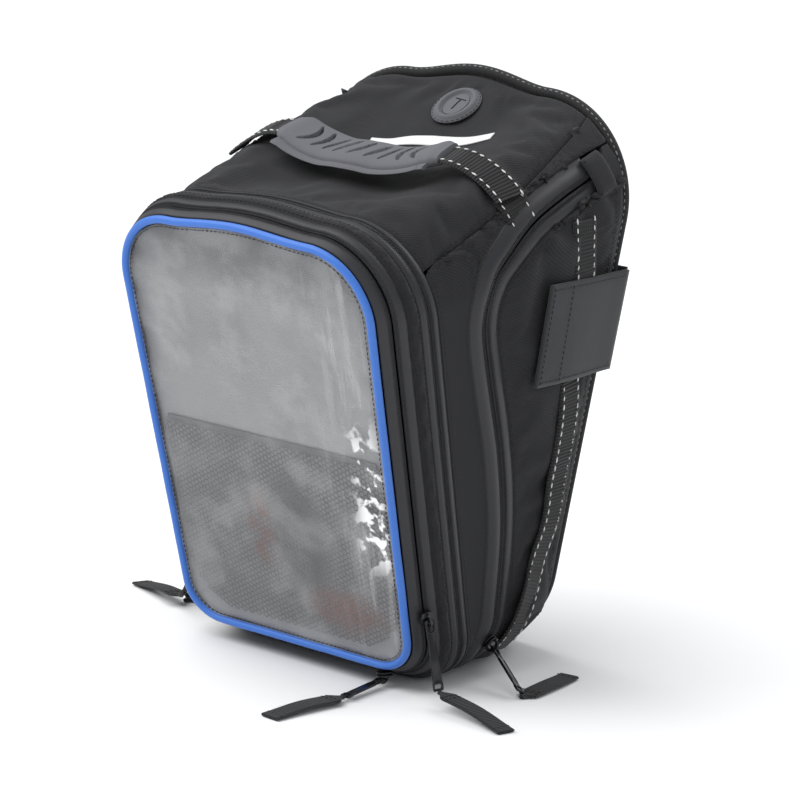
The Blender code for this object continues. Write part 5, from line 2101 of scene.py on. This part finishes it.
def zip_tape(name: str, points: np.ndarray, closed: bool = True) -> bpy.types.Object:
    """Narrow satin tape round the front section.

    Args:
        name: the piece's name.
        points: its grid of points.
        closed: True for a full ring.

    Returns:
        The tape.
    """
    panel = Panel(
        name, points, SATIN_TAPE, TAPE - 0.2 * MM, closed, sink=0.5 * MM, seam=1.3 * MM,
        crown=0.7 * MM, crown_run=3 * MM, wrinkle=0.15 * MM,
    )
    return panel.build()


@dataclass
class Handle(Assembly):
    """Webbing handle inside a slotted, moulded grip."""

    from_base: float = 127 * MM
    end_from_base: float = HANDLE_END_FROM_BASE
    half_span: float = 106 * MM
    end_rise: float = 4 * MM
    rise: float = 10 * MM
    grip_length: float = 128 * MM
    grip_width: float = 38 * MM
    grip_thickness: float = 9 * MM

    def point(self, x: float) -> tuple[Vector, Vector]:
        """Centre of the handle's webbing at x, and the way up from it."""
        share = abs(x) / self.half_span
        distance = self.from_base + (self.end_from_base - self.from_base) * share
        rise = self.rise + (self.end_rise - self.rise) * smooth((share - 0.55) / 0.4)
        place = panel_frame(x, distance, rise=rise)
        return place.translation, place.col[2].xyz

    def track(self, low: float, high: float, count: int) -> np.ndarray:
        """Track along the handle between two places across the bag.

        Args:
            low: where it starts.
            high: where it ends.
            count: number of steps.

        Returns:
            Rows of a place and an out direction.
        """
        pairs = [self.point(low + (high - low) * step / count) for step in range(count + 1)]
        return track_of(*zip(*pairs))

    @staticmethod
    def groove(x: float, y: float) -> float:
        """Depth of the grip's slots at a place: slashes in the middle and crescents at the ends.

        Args:
            x: millimetres along the grip.
            y: millimetres across it.

        Returns:
            Depth in millimetres.
        """
        slots = (
            (0, 0.16), (11, 0.18), (-11, 0.15), (22, 0.2), (-22, 0.13), (34, 0.7), (-34, -0.7),
            (46, 1.0), (-46, -1.0),
        )
        depth = 0.0
        for centre, bend in slots:
            if abs(centre) < 30:
                offset, width, reach = 0.35 * y, 1.7, 10.5
            else:
                offset, width, reach = -bend * 6 * (1 - (y / 11.5) ** 2) + bend * 3, 2.1, 11.5
            gap = abs(x - centre - offset)
            tip = max(1 - (y / reach) ** 2, 0)
            depth = max(depth, 3.4 * smooth((width * math.sqrt(tip) - gap) / 0.9 + 0.4 if tip else 0))
        return depth

    def grip(self) -> None:
        """Moulded grip: a crowned sheath with slots, and a thin flange along its front edge."""
        columns, rows = 190, 44
        track = self.track(-self.grip_length / 2, self.grip_length / 2, columns)
        places, outs = track[:, :3], track[:, 3:6]
        along = np.gradient(places, axis=0)
        along /= np.linalg.norm(along, axis=1, keepdims=True)
        across = np.cross(outs, along)
        across /= np.linalg.norm(across, axis=1, keepdims=True)
        half, thick = self.grip_width / 2, self.grip_thickness / 2
        loops = []
        for column in range(columns + 1):
            x = (column / columns - 0.5) * self.grip_length
            end = smooth((self.grip_length / 2 - abs(x)) / (5 * MM))
            taper = half * (1 - 0.16 * (2 * x / self.grip_length) ** 4) * (0.82 + 0.18 * end)
            ring = []
            for row in range(rows):
                y = (1 - 2 * row / (rows - 1)) * taper
                arch = math.sqrt(max(1 - (y / taper) ** 4, 0.0))
                top = (1.0 + (thick - 0.2 * MM) * arch * 1000 * (0.75 + 0.25 * end)) * MM
                top -= self.groove(x * 1000, y * 1000) * MM * 0.95
                ring.append((y, top))
            for row in range(12):
                y = (-1 + 2 * row / 11) * taper
                ring.append((y, -thick * 0.75 * math.sqrt(max(1 - (y / taper) ** 4, 0.0)) - 0.4 * MM))
            loops.append([places[column] + across[column] * y + outs[column] * z for y, z in ring])
        points = np.array(loops)
        size = points.shape[1]
        faces = []
        for column in range(columns):
            faces += hoop_faces(column * size, (column + 1) * size, size)
        faces += end_caps(size, columns + 1)
        mesh = mesh_of("handle_grip_moulding", points.reshape(-1, 3), faces)
        edge = track[6:-6, :3] - across[6:-6] * (half + 0.5 * MM)
        path = np.concatenate([edge, track[6:-6, 3:6]], axis=1)
        flange = tube_mesh("flange", path, lambda _: strap_section(9 * MM, 2.4 * MM, 4), False)
        whole = joined("handle_grip_moulding", [mesh, flange])
        face_outwards(whole)
        item = add_piece("handle_grip_moulding", whole, RUBBER, crease=55)
        self.place(item, "moulded_rubber", "handle_grip")

    def build(self) -> None:
        """Build the grip, the webbing through it, and its ends."""
        self.grip()
        half = self.grip_length / 2
        inner = self.track(-half, half, 30)
        strap = ribbed_strap("handle_webbing_strap", inner, WEBBING_WIDTH, WEBBING_THICKNESS, WEBBING)
        self.place(strap, "webbing", "handle_webbing")
        for side, hand in SIDES:
            name = f"handle_webbing_{hand}"
            outer = self.track(side * (half - 2 * MM), side * self.half_span, 24)
            rows = [beside_track(outer[2:], offset, 1.15 * MM) for offset in (-STITCH_OFFSET, STITCH_OFFSET)]
            for piece in (
                ribbed_strap(f"{name}_strap", outer, WEBBING_WIDTH, WEBBING_THICKNESS, WEBBING),
                PALE_STITCH.build(f"{name}_stitches", rows),
            ):
                ends = tuple(outer[4, :3]), tuple(outer[-3, :3])
                self.bridge(piece, "webbing", ("handle", "main_lid"), *ends)


@dataclass
class FrontSection(Assembly):
    """Wall between the two front zips, the expansion gusset and the organiser's floor."""

    pleats: int = 3

    def build(self) -> None:
        """Build every piece of the front section."""
        wall_far = SEAM_DEPTH - 2 * EXPANSION_BAND - SEAM_GAP
        middle = SEAM_DEPTH - EXPANSION_BAND
        wall = Panel(
            "front_wall_cloth", front_grid(FRONT_TAPE_END + SEAM_GAP, wall_far, 12, 400), TWILL,
            WALL - FIT_GAP, True, sink=0.9 * MM, seam=1.8 * MM, crown=1.7 * MM, crown_run=4 * MM,
            wrinkle=0.6 * MM, wrinkle_size=30 * MM, grow=0.03, reach=2.5 * MM,
        )
        self.pad(wall.build(), "twill", "front_wall")
        points = front_grid(LID_DEPTH + SEAM_GAP, FRONT_TAPE_END + 1.3 * SEAM_GAP, 7, 360)
        self.place(zip_tape("map_zip_tape_inner_cloth", points), "zip_tape", "map_zip_tape_inner")
        points = front_grid(wall_far - 0.3 * SEAM_GAP, middle - SEAM_GAP / 2, 6, 360)
        tape = zip_tape("expansion_zip_tape_front_cloth", points)
        self.place(tape, "zip_tape", "expansion_zip_tape_front")
        ridges = [front_track(LID_DEPTH + 2.9 * MM, 0.35 * MM), front_track(middle - 2.3 * MM, 0.3 * MM)]
        self.place(COIL_RIDGE.build("front_section_coils", ridges), "zip_tape")
        depths = (FRONT_TAPE_END + 3.2 * MM, wall_far - 2.2 * MM)
        edges = [front_track(depth, 0.75 * MM) for depth in depths]
        self.place(BLACK_STITCH.build("front_wall_stitches", edges), "twill")
        self.gusset()
        self.floor()

    def gusset(self) -> None:
        """Pleated cloth inside the expansion zip."""
        reach = SEAM_DEPTH - SLEEVE_START + EXPANSION_TRAVEL + 1.5 * MM
        rows = []
        for row in range(37):
            share = row / 36
            fold_in = 0.5 * MM * (1 - math.cos(2 * math.pi * self.pleats * share))
            inset = SLEEVE_INSET + 0.2 * MM + fold_in
            stations = [2 * HALF_LOOP * step / 300 for step in range(300)]
            hoop = [front_point(u, SLEEVE_START, inset) + Vector((0, reach * share, 0)) for u in stations]
            rows.append([tuple(point) for point in hoop])
        panel = Panel(
            "expansion_gusset_cloth", np.array(rows), LINING, 1.0 * MM, True, sink=0, crown=0,
            wrinkle=0.12 * MM,
        )
        self.place(panel.build(), "lining", "expansion_sleeve")

    def floor(self) -> None:
        """Quilted floor of the organiser."""
        inset = SLEEVE_INSET + 3.3 * MM
        levels = ((26, 0.4), (4, 0.4), (0.6, 0.8), (0, 1.4), (0.4, 2.2), (3, 2.7), (26, 2.7))
        rings = []
        for extra, depth in levels:
            ring = []
            for step in range(160):
                edge = front_point(2 * HALF_LOOP * step / 160, ORGANISER_FLOOR_DEPTH, inset + extra * MM)
                ring.append(in_front(edge.x, edge.z, ORGANISER_FLOOR_DEPTH + depth * MM))
            rings.append(ring)
        mesh = plate_mesh("organiser_floor_cloth", rings)
        self.place(add_piece("organiser_floor_cloth", mesh, LINING_SOLID), "lining", "organiser_floor")


LINING_SOLID = ClothFinish(
    "woven_lining_solid", LINING.colour, Weave.PLAIN, 1.3 * MM, 0.15 * MM, on_surface=False,
)


@dataclass
class MapLid(Assembly):
    """Map window, its piping and backing, the mesh pocket and the lid's half of the zip."""

    rows: int = 70

    def face_ring(self, inset: float, depth: float, count: int = 180) -> list[Vector]:
        """Outline of the map face at an inset and a depth.

        Args:
            inset: distance inside the skin.
            depth: depth behind the map face.
            count: number of points.

        Returns:
            The ring's points.
        """
        ring = []
        for step in range(count):
            edge = front_point(2 * HALF_LOOP * step / count, 0, inset)
            ring.append(in_front(edge.x, edge.z, depth))
        return ring

    def face_grid(self, inset: float, depth: Callable[[float, float, float], float]) -> np.ndarray:
        """Grid of rings that shrink from the outline to the middle.

        Args:
            inset: how far the outermost ring lies inside the skin.
            depth: depth behind the map face for (x, z, share of the way to the middle).

        Returns:
            Rings as rows, from the outside in.
        """
        outer = [front_point(2 * HALF_LOOP * step / 220, 0, inset) for step in range(220)]
        middle = Vector((0, 0, sum(point.z for point in outer) / len(outer)))
        rings = []
        for row in range(self.rows + 1):
            share = (row / self.rows) ** 0.8 * 0.985
            ring = []
            for point in outer:
                x = point.x + (middle.x - point.x) * share
                z = point.z + (middle.z - point.z) * share
                ring.append(tuple(in_front(x, z, depth(x, z, share))))
            rings.append(ring)
        return np.array(rings)

    def window(self) -> None:
        """Clear film, slightly buckled, sewn under the piping."""

        def film_depth(x: float, z: float, share: float) -> float:
            """Depth of the film behind the map face."""
            broad = noise.noise(Vector((x * 9, 3.1, z * 7)))
            crease = noise.noise(Vector((x * 34, 8.7, z * 11)))
            side = smooth((x - 0.045) / 0.04)
            slack = min(share * 5, 1)
            return 2.6 * MM - slack * (1.3 * MM * broad + 0.5 * MM * crease * (0.3 + side))

        points = self.face_grid(2 * PIPING_RADIUS - 0.6 * MM, film_depth)
        mesh = grid_mesh("map_window_film", points, True)
        self.close_middle(mesh, len(points[0]))
        item = add_piece("map_window_film", mesh, FILM)
        self.place(item, "clear_film", "map_window")

    @staticmethod
    def close_middle(mesh: bpy.types.Mesh, count: int) -> None:
        """Fill the innermost ring and turn every face to the front.

        Args:
            mesh: the sheet, whose last points are its innermost ring.
            count: points in that ring.
        """
        with edited(mesh) as shape:
            shape.verts.ensure_lookup_table()
            shape.faces.new(shape.verts[-count:])
            bmesh.ops.recalc_face_normals(shape, faces=shape.faces)
            shape.faces.ensure_lookup_table()
            if shape.faces[0].normal.y > 0:
                bmesh.ops.reverse_faces(shape, faces=shape.faces)

    def piping(self) -> None:
        """Blue piping round the window."""
        count = 420
        path = []
        for step in range(count):
            u = 2 * HALF_LOOP * step / count
            point = front_point(u, PIPING_RADIUS, PIPING_RADIUS)
            wobble = 0.25 * MM * noise.noise(Vector(point) * 40)
            out = front_normal(u, PIPING_RADIUS)
            path.append([*(point + out * wobble), *out])
        mesh = tube_mesh("window_piping_cord", np.array(path), lambda _: round_section(2.55 * MM, 16), True)
        self.place(add_piece("window_piping_cord", mesh, PIPING), "piping", "window_piping")
        ring = self.face_ring(2 * PIPING_RADIUS + 0.9 * MM, 2.2 * MM, 220)
        track = track_of(ring, [Vector(FACE_OUT)] * len(ring))
        edge = np.concatenate([track, track[:1]])
        self.place(BLACK_STITCH.build("window_piping_stitches", [edge]), "piping")

    def backing(self) -> None:
        """Grey cloth behind the window and the honeycomb mesh of its pocket."""
        near = PIPING_RADIUS + 3 * MM
        levels = ((24, 0.1), (4, 0.0), (0.5, 0.2), (0, 0.8), (0.4, 1.5), (4, 1.9), (24, 1.9))
        inset = TAPE + SEAM_GAP + FRONT_INSET / 4
        rings = [self.face_ring(inset + extra * MM, near + depth * MM) for extra, depth in levels]
        mesh = plate_mesh("map_backing_cloth", rings)
        self.place(add_piece("map_backing_cloth", mesh, BACKING), "grey_cloth", "map_backing")
        cell = MESH_CELL.size[0]
        rows = []
        for column in range(-36, 37):
            for row in range(0, 60):
                x = column * 1.5 * cell
                z = 22 * MM + (row + 0.5 * (column % 2)) * 1.732 * cell
                corner = 34 * MM
                low = 27 * MM + max(abs(x) - 56 * MM, 0) ** 2 / corner
                if z > MESH_TOP or z < low or abs(x) > 84 * MM + (z - 0.05) * 0.02:
                    continue
                place = in_front(x, z, near - 1.0 * MM)
                rows.append([*place, *FACE_OUT, 1, 0, 0])
        mesh_piece = MESH_CELL.build("mesh_pocket_net", [np.array(rows)], False)
        self.place(mesh_piece, "grey_mesh", "mesh_pocket")
        tape = [Vector((-84 * MM + 168 * MM * step / 20, 0, MESH_TOP)) for step in range(21)]
        path = [[*in_front(point.x, point.z, near - 1.0 * MM), *FACE_OUT] for point in tape]
        section = strap_section(5 * MM, 0.8 * MM, 4)
        hem = tube_mesh("mesh_pocket_hem", np.array(path), lambda _: section, False)
        self.place(add_piece("mesh_pocket_hem", hem, MESH_CORD), "grey_mesh")

    def zip_half(self) -> None:
        """Outer tape of the map zip with its coil, and the sewn hinge at the foot."""
        near = 2 * PIPING_RADIUS + SEAM_GAP / 2 - 1.5 * MM
        start = HINGE_HALF / FRONT_OUTLINE.point(1).x
        points = front_grid(near, LID_DEPTH, 8, 360, start)
        tape = zip_tape("map_zip_tape_outer_cloth", points, False)
        self.place(tape, "zip_tape", "map_zip_tape_outer")
        ridge = front_track(LID_DEPTH - 2.0 * MM, 0.35 * MM, start)
        self.place(COIL_RIDGE.build("map_zip_coil_outer", [ridge]), "zip_tape")
        reach = start - SEAM_GAP / FRONT_OUTLINE.point(1).x / 2
        span = [reach * (step / 30 - 1) for step in range(61)]
        depths = [near + (LID_DEPTH + SEAM_GAP + 1.5 * MM - near) * row / 12 for row in range(13)]
        rows = [[tuple(front_point(u, depth)) for u in span] for depth in depths]
        panel = Panel(
            "hinge_fabric_cloth", np.array(rows), TWILL, TAPE - 0.2 * MM, sink=0.3 * MM,
            seam=1.2 * MM, crown=0.5 * MM, crown_run=4 * MM, wrinkle=0.25 * MM,
        )
        item = panel.build()
        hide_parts("hinge_fabric")
        ends = front_point(0, LID_DEPTH + SEAM_GAP), front_point(0, LID_DEPTH - 5 * MM)
        self.bridge(item, "twill", ("front_section", "map_lid"), *ends)

    def build(self) -> None:
        """Build every piece of the map lid."""
        self.window()
        self.piping()
        self.backing()
        self.zip_half()


@dataclass(frozen=True)
class PullRoute:
    """How a puller and its tab lie: level headings, and the height of each one's far end."""

    pull_heading: tuple[float, float]
    pull_end: float
    tab_heading: tuple[float, float]
    tab_end: float
    tab_under: bool = False


@dataclass
class ZipPull(Assembly):
    """Slider on a zip, its puller and the fabric tab on the puller's end."""

    seat: Vector = field(default_factory=Vector)
    along: Vector = field(default_factory=Vector)
    out: Vector = field(default_factory=Vector)
    route: Optional[PullRoute] = None
    pull_length: float = 44 * MM
    tab_length: float = 62 * MM
    tab_width: float = 14 * MM

    @staticmethod
    def lie_down(start: Vector, heading: tuple, length: float, end_height: float) -> Vector:
        """Direction from start, over a level heading, that ends at a height above the floor.

        Args:
            start: where the piece starts.
            heading: its level direction.
            length: its length.
            end_height: height of its far end.

        Returns:
            The unit direction.
        """
        drop = (end_height - start.z) / length
        level = Vector((heading[0], heading[1], 0)).normalized() * math.sqrt(1 - drop * drop)
        return Vector((level.x, level.y, drop))

    def slider(self, base: Matrix) -> Vector:
        """Slider: two shield-shaped plates on a post, with a bail over the top.

        Args:
            base: the slider's frame, X along the zip and Z outwards.

        Returns:
            The middle of the bail's window.
        """
        lift = SLIDER_GAP
        shield = []
        for step in range(40):
            turn = 2 * math.pi * step / 40
            x = 5.5 * MM * math.cos(turn)
            waist = 4.2 * MM - 0.9 * MM * math.cos(turn)
            sine = math.sin(turn)
            corner = waist * sine / max(abs(sine), 0.35) * min(abs(sine) * 2.2, 1) * 0.35
            shield.append((x, corner + waist * 0.65 * sine))
        meshes = []
        for height, thick in ((lift + 0.55 * MM, 1.1 * MM), (lift + 2.45 * MM, 1.1 * MM)):
            plate = cast_shape("plate", shield, (), thick, 0.35 * MM)
            plate.transform(base @ Matrix.Translation((0, 0, height)))
            meshes.append(plate)
        post = cast_shape("post", rounded_box(7 * MM, 3 * MM, 1.2 * MM), (), 2.4 * MM, 0.3 * MM)
        post.transform(base @ Matrix.Translation((0, 0, lift + 1.5 * MM)))
        top = lift + 3 * MM
        arch = []
        for step in range(25):
            turn = math.pi * step / 24
            x, z = 3.9 * MM * math.cos(turn), 4.7 * MM * math.sin(turn) ** 0.7
            arch.append([*(base @ Vector((x, 0, top - 0.4 * MM + z))), *(base.col[1].xyz)])
        bail = tube_mesh("bail", np.array(arch), lambda _: rounded_bar(1.1 * MM, 0.75 * MM), False)
        meshes += [post, bail]
        name = f"{self.body}_casting"
        self.place(add_piece(name, joined(name, meshes), DIE_CAST, crease=40), "die_cast", self.body)
        return base @ Vector((0, 0, top + 3.9 * MM / 2))

    def puller(self, name: str, hinge: Vector, way: Vector, across: Vector) -> None:
        """Long die-cast puller with an eye, a sunk panel and a slotted end.

        Args:
            name: the puller's body.
            hinge: where it swings.
            way: direction along it.
            across: direction of its hinge.
        """
        place = frame_of(hinge, way, way.cross(across))
        length = self.pull_length
        rim = []
        for step in range(9):
            turn = math.pi / 2 + math.pi * step / 8
            rim.append((0.6 * MM + 3.4 * MM * math.cos(turn) * 0.5, 3.4 * MM * math.sin(turn)))
        edge = (
            (10 * MM, 3.0 * MM), (14 * MM, 2.6 * MM), (length - 8 * MM, 3.3 * MM),
            (length - 0.6 * MM, 3.5 * MM), (length, 2.9 * MM),
        )
        rim += [(x, -y) for x, y in edge] + list(reversed(edge))
        eye = rounded_box(6.2 * MM, 4.2 * MM, 1.6 * MM, (3.9 * MM, 0))
        slot = rounded_box(2.8 * MM, 4.6 * MM, 0.8 * MM, (length - 3 * MM, 0))
        core = cast_shape("core", rim, (eye, slot), 1.1 * MM, 0.3 * MM)
        meshes = [core]
        for side in (1, -1):
            middle = (length / 2 + 1.5 * MM, side * 2.3 * MM)
            outline = rounded_box(length - 22 * MM, 0.9 * MM, 0.4 * MM, middle)
            meshes.append(cast_shape("rail", outline, (), 1.7 * MM, 0.25 * MM))
        outline = rounded_box(7.8 * MM, 6.4 * MM, 2.4 * MM, (3.9 * MM, 0))
        ring = cast_shape("ring", outline, (eye,), 1.7 * MM, 0.3 * MM)
        outline = rounded_box(5.6 * MM, 7 * MM, 1.2 * MM, (length - 3 * MM, 0))
        bridge = cast_shape("bridge", outline, (slot,), 1.8 * MM, 0.3 * MM)
        whole = joined(f"{name}_casting", [*meshes, ring, bridge])
        whole.transform(place)
        item = add_piece(f"{name}_casting", whole, DIE_CAST, crease=40)
        self.place(item, "die_cast", name, body=name)

    def tab(self, name: str, joint: Vector, way: Vector, across: Vector) -> None:
        """Fabric tab: a narrow neck through the puller, then a flat strip sewn double.

        Args:
            name: the tab's body.
            joint: where it swings.
            way: direction along it.
            across: direction of its hinge.
        """
        up = way.cross(across)
        if up.z < 0:
            up = -up
        side = up.cross(way).normalized()
        rows = []
        for step in range(60):
            share = step / 59
            sway = 1.2 * MM * math.sin(math.pi * share) * (1 if way.x > 0 else -1)
            bow = 0.9 * MM * math.sin(math.pi * share) ** 2
            place = joint + way * (self.tab_length * share + 0.6 * MM) + side * sway + Vector((0, 0, bow))
            rows.append([*place, *up])

        def section(share: float) -> list[tuple[float, float]]:
            """Strap section that widens from the neck."""
            neck = smooth((share * self.tab_length - 1.5 * MM) / (7 * MM))
            width = 4.2 * MM + (self.tab_width - 4.2 * MM) * neck
            return strap_section(width, 2.0 * MM + 0.5 * MM * (1 - neck), 12)

        mesh = tube_mesh(f"{name}_strip", np.array(rows), section, False)
        item = add_piece(f"{name}_strip", mesh, GROSGRAIN, crease=60)
        self.place(item, "pull_cloth", name, body=name)
        tracks = []
        for distance in (9.5 * MM, 13 * MM, self.tab_length - 4 * MM):
            bow = 0.9 * MM * math.sin(math.pi * distance / self.tab_length) ** 2
            middle = joint + way * distance + Vector((0, 0, 1.15 * MM + bow))
            ends = [middle + side * (offset * 5.6 * MM) for offset in (-1, 1)]
            tracks.append(track_of(ends, [up, up]))
        self.place(BLACK_STITCH.build(f"{name}_stitches", tracks), "pull_cloth", body=name)

    def build(self) -> None:
        """Build the slider, the puller and the tab."""
        name = self.body.removesuffix("_slider")
        base = frame_of(self.seat, self.along, self.out)
        hinge = self.slider(base)
        reach = self.pull_length + 0.6 * MM
        way = self.lie_down(hinge, self.route.pull_heading, reach, self.route.pull_end)
        across = base.col[1].xyz
        across = (across - way * across.dot(way)).normalized()
        self.puller(f"{name}_pull", hinge, way, across)
        joint = hinge + way * reach
        if self.route.tab_under:
            joint.z = self.route.tab_end
        tab_way = self.lie_down(joint, self.route.tab_heading, self.tab_length, self.route.tab_end)
        tab_across = Vector((0, 0, 1)).cross(tab_way).normalized()
        self.tab(f"{name}_pull_tab", joint, tab_way, tab_across)


def rounded_bar(half_width: float, half_height: float) -> list[tuple[float, float]]:
    """Oval bar section."""
    turns = [2 * math.pi * step / 10 for step in range(10)]
    return [(half_width * math.cos(turn), half_height * math.sin(turn)) for turn in turns]


def zip_pulls() -> list[ZipPull]:
    """The five sliders, each at rest on its zip."""
    flat = 1.4 * MM
    pulls = []
    u, depth = 2.08, LID_DEPTH + SEAM_GAP / 2
    seat = front_point(u, depth)
    pulls.append(ZipPull(
        "map_side_slider", seat=seat, along=front_point(u - 0.05, depth) - seat, out=front_normal(u, depth),
        route=PullRoute((1, 0.1), 9 * MM, (1, -0.2), flat),
    ))
    u, depth = HINGE_HALF / FRONT_OUTLINE.point(1).x + 0.14, 6 * MM
    pulls.append(ZipPull(
        "map_foot_slider", seat=front_point(u, depth), along=Vector((0, -1, 0)), out=front_normal(u, depth),
        route=PullRoute((0.08, -1), 3 * MM, (-0.13, -1), flat),
    ))
    u, depth = 2 * HALF_LOOP - 2.05, SEAM_DEPTH - EXPANSION_BAND
    seat = front_point(u, depth)
    pulls.append(ZipPull(
        "expansion_slider", seat=seat, along=front_point(u + 0.05, depth) - seat, out=front_normal(u, depth),
        route=PullRoute((-1, 0.3), 9 * MM, (-1, 0.4), flat),
    ))
    line = zip_line(36)
    index = min(range(len(line)), key=lambda at: abs(PERIMETER.k_at(line[at].x) - 1.86))
    k = PERIMETER.k_at(line[index].x)
    normal = wall_normal(k, line[index].y / wall_run(k))
    for side, hand in SIDES:
        seat = on_wall(line[index], 0, side)
        down = on_wall(line[index - 1], 0, side) - seat
        down.y -= 0.35 * down.length
        pulls.append(ZipPull(
            f"main_{hand}_slider", seat=seat, along=down, out=Vector((side * normal.x, normal.y, normal.z)),
            route=PullRoute((side, -0.5), 4.6 * MM, (side * -0.1, 1), flat, tab_under=True),
        ))
    return pulls


# ---------------------------------------------------------------------------------------------
# Stage


@dataclass(frozen=True)
class Studio:
    """Floor, lights and camera."""

    target: tuple[float, float, float] = (35.0 * MM, -43.2 * MM, 173.7 * MM)
    azimuth: float = 36.85
    elevation: float = 12.22
    roll: float = 3.91
    distance: float = 2.0989
    lens: float = 149.42

    def floor(self) -> None:
        """Plain pale floor."""
        shape = bmesh.new()
        bmesh.ops.create_grid(shape, x_segments=8, y_segments=8, size=30)
        mesh = bpy.data.meshes.new("studio_floor")
        shape.to_mesh(mesh)
        shape.free()
        item = linked("studio_floor", mesh)
        item.location.z = -0.2 * MM
        tree = ShaderTree("studio_floor_paint")
        tree.shader.inputs["Base Color"].default_value = (0.87, 0.87, 0.87, 1)
        tree.shader.inputs["Roughness"].default_value = 0.9
        mesh.materials.append(tree.material)

    def light(self, name: str, place: tuple, size: float, power: float) -> None:
        """Square soft light that points at the bag.

        Args:
            name: the lamp's name.
            place: where it hangs.
            size: side of the square.
            power: watts.
        """
        lamp = bpy.data.lights.new(name, "AREA")
        lamp.size = size
        lamp.energy = power
        item = linked(name, lamp)
        item.location = place
        way = Vector((0, 0, 0.18)) - Vector(place)
        item.rotation_euler = way.to_track_quat("-Z", "Y").to_euler()

    def camera(self) -> None:
        """Camera at the bag's three-quarter view."""
        turn, rise, roll = (math.radians(value) for value in (self.azimuth, self.elevation, self.roll))
        back = Vector((math.sin(turn) * math.cos(rise), -math.cos(turn) * math.cos(rise), math.sin(rise)))
        right = (-back).cross(Vector((0, 0, 1))).normalized()
        up = right.cross(-back)
        right, up = right * math.cos(roll) + up * math.sin(roll), up * math.cos(roll) - right * math.sin(roll)
        data = bpy.data.cameras.new("camera")
        data.lens = self.lens
        data.sensor_width = 36
        item = linked("camera", data)
        rotation = Matrix((right, up, back)).transposed().to_4x4()
        item.matrix_world = Matrix.Translation(Vector(self.target) + back * self.distance) @ rotation
        bpy.context.scene.camera = item

    def build(self) -> None:
        """Build the stage."""
        self.floor()
        self.light("key_light", (-1.2, -1.9, 2.0), 1.0, 16)
        self.light("fill_light", (2.2, -1.2, 1.3), 1.6, 7)
        self.light("back_light", (0.6, 2.0, 1.9), 1.0, 16)
        lamp = bpy.data.lights.new("overhead_light", "SUN")
        lamp.energy = 2.7
        lamp.angle = math.radians(70)
        item = linked("overhead_light", lamp)
        item.rotation_euler = Vector((0.4, 0.3, -0.87)).to_track_quat("-Z", "Y").to_euler()
        world = bpy.data.worlds.new("studio")
        world.use_nodes = True
        world.node_tree.nodes["Background"].inputs["Color"].default_value = (0.95, 0.97, 1.0, 1)
        world.node_tree.nodes["Background"].inputs["Strength"].default_value = 0.48
        bpy.context.scene.world = world
        bpy.context.scene.view_settings.view_transform = "Standard"
        self.camera()


def main() -> None:
    """Build the stage and every sub-assembly."""
    logging.basicConfig(level=logging.INFO, format="%(message)s")
    Studio().build()
    lines = WallLines()
    lines.lay_out()
    assemblies = [
        LowerShell("lower_shell", lines=lines),
        MainLid("main_lid", lines=lines),
        Handle("handle"),
        FrontSection("front_section"),
        MapLid("map_lid"),
        *(WrapTab(f"wrap_tab_{hand}", side=side, hand=hand) for side, hand in SIDES),
        *zip_pulls(),
    ]
    for assembly in assemblies:
        assembly.build()
    log.info("pieces made: %d", sum(len(assembly.made) for assembly in assemblies))


if __name__ == "__main__":
    main()
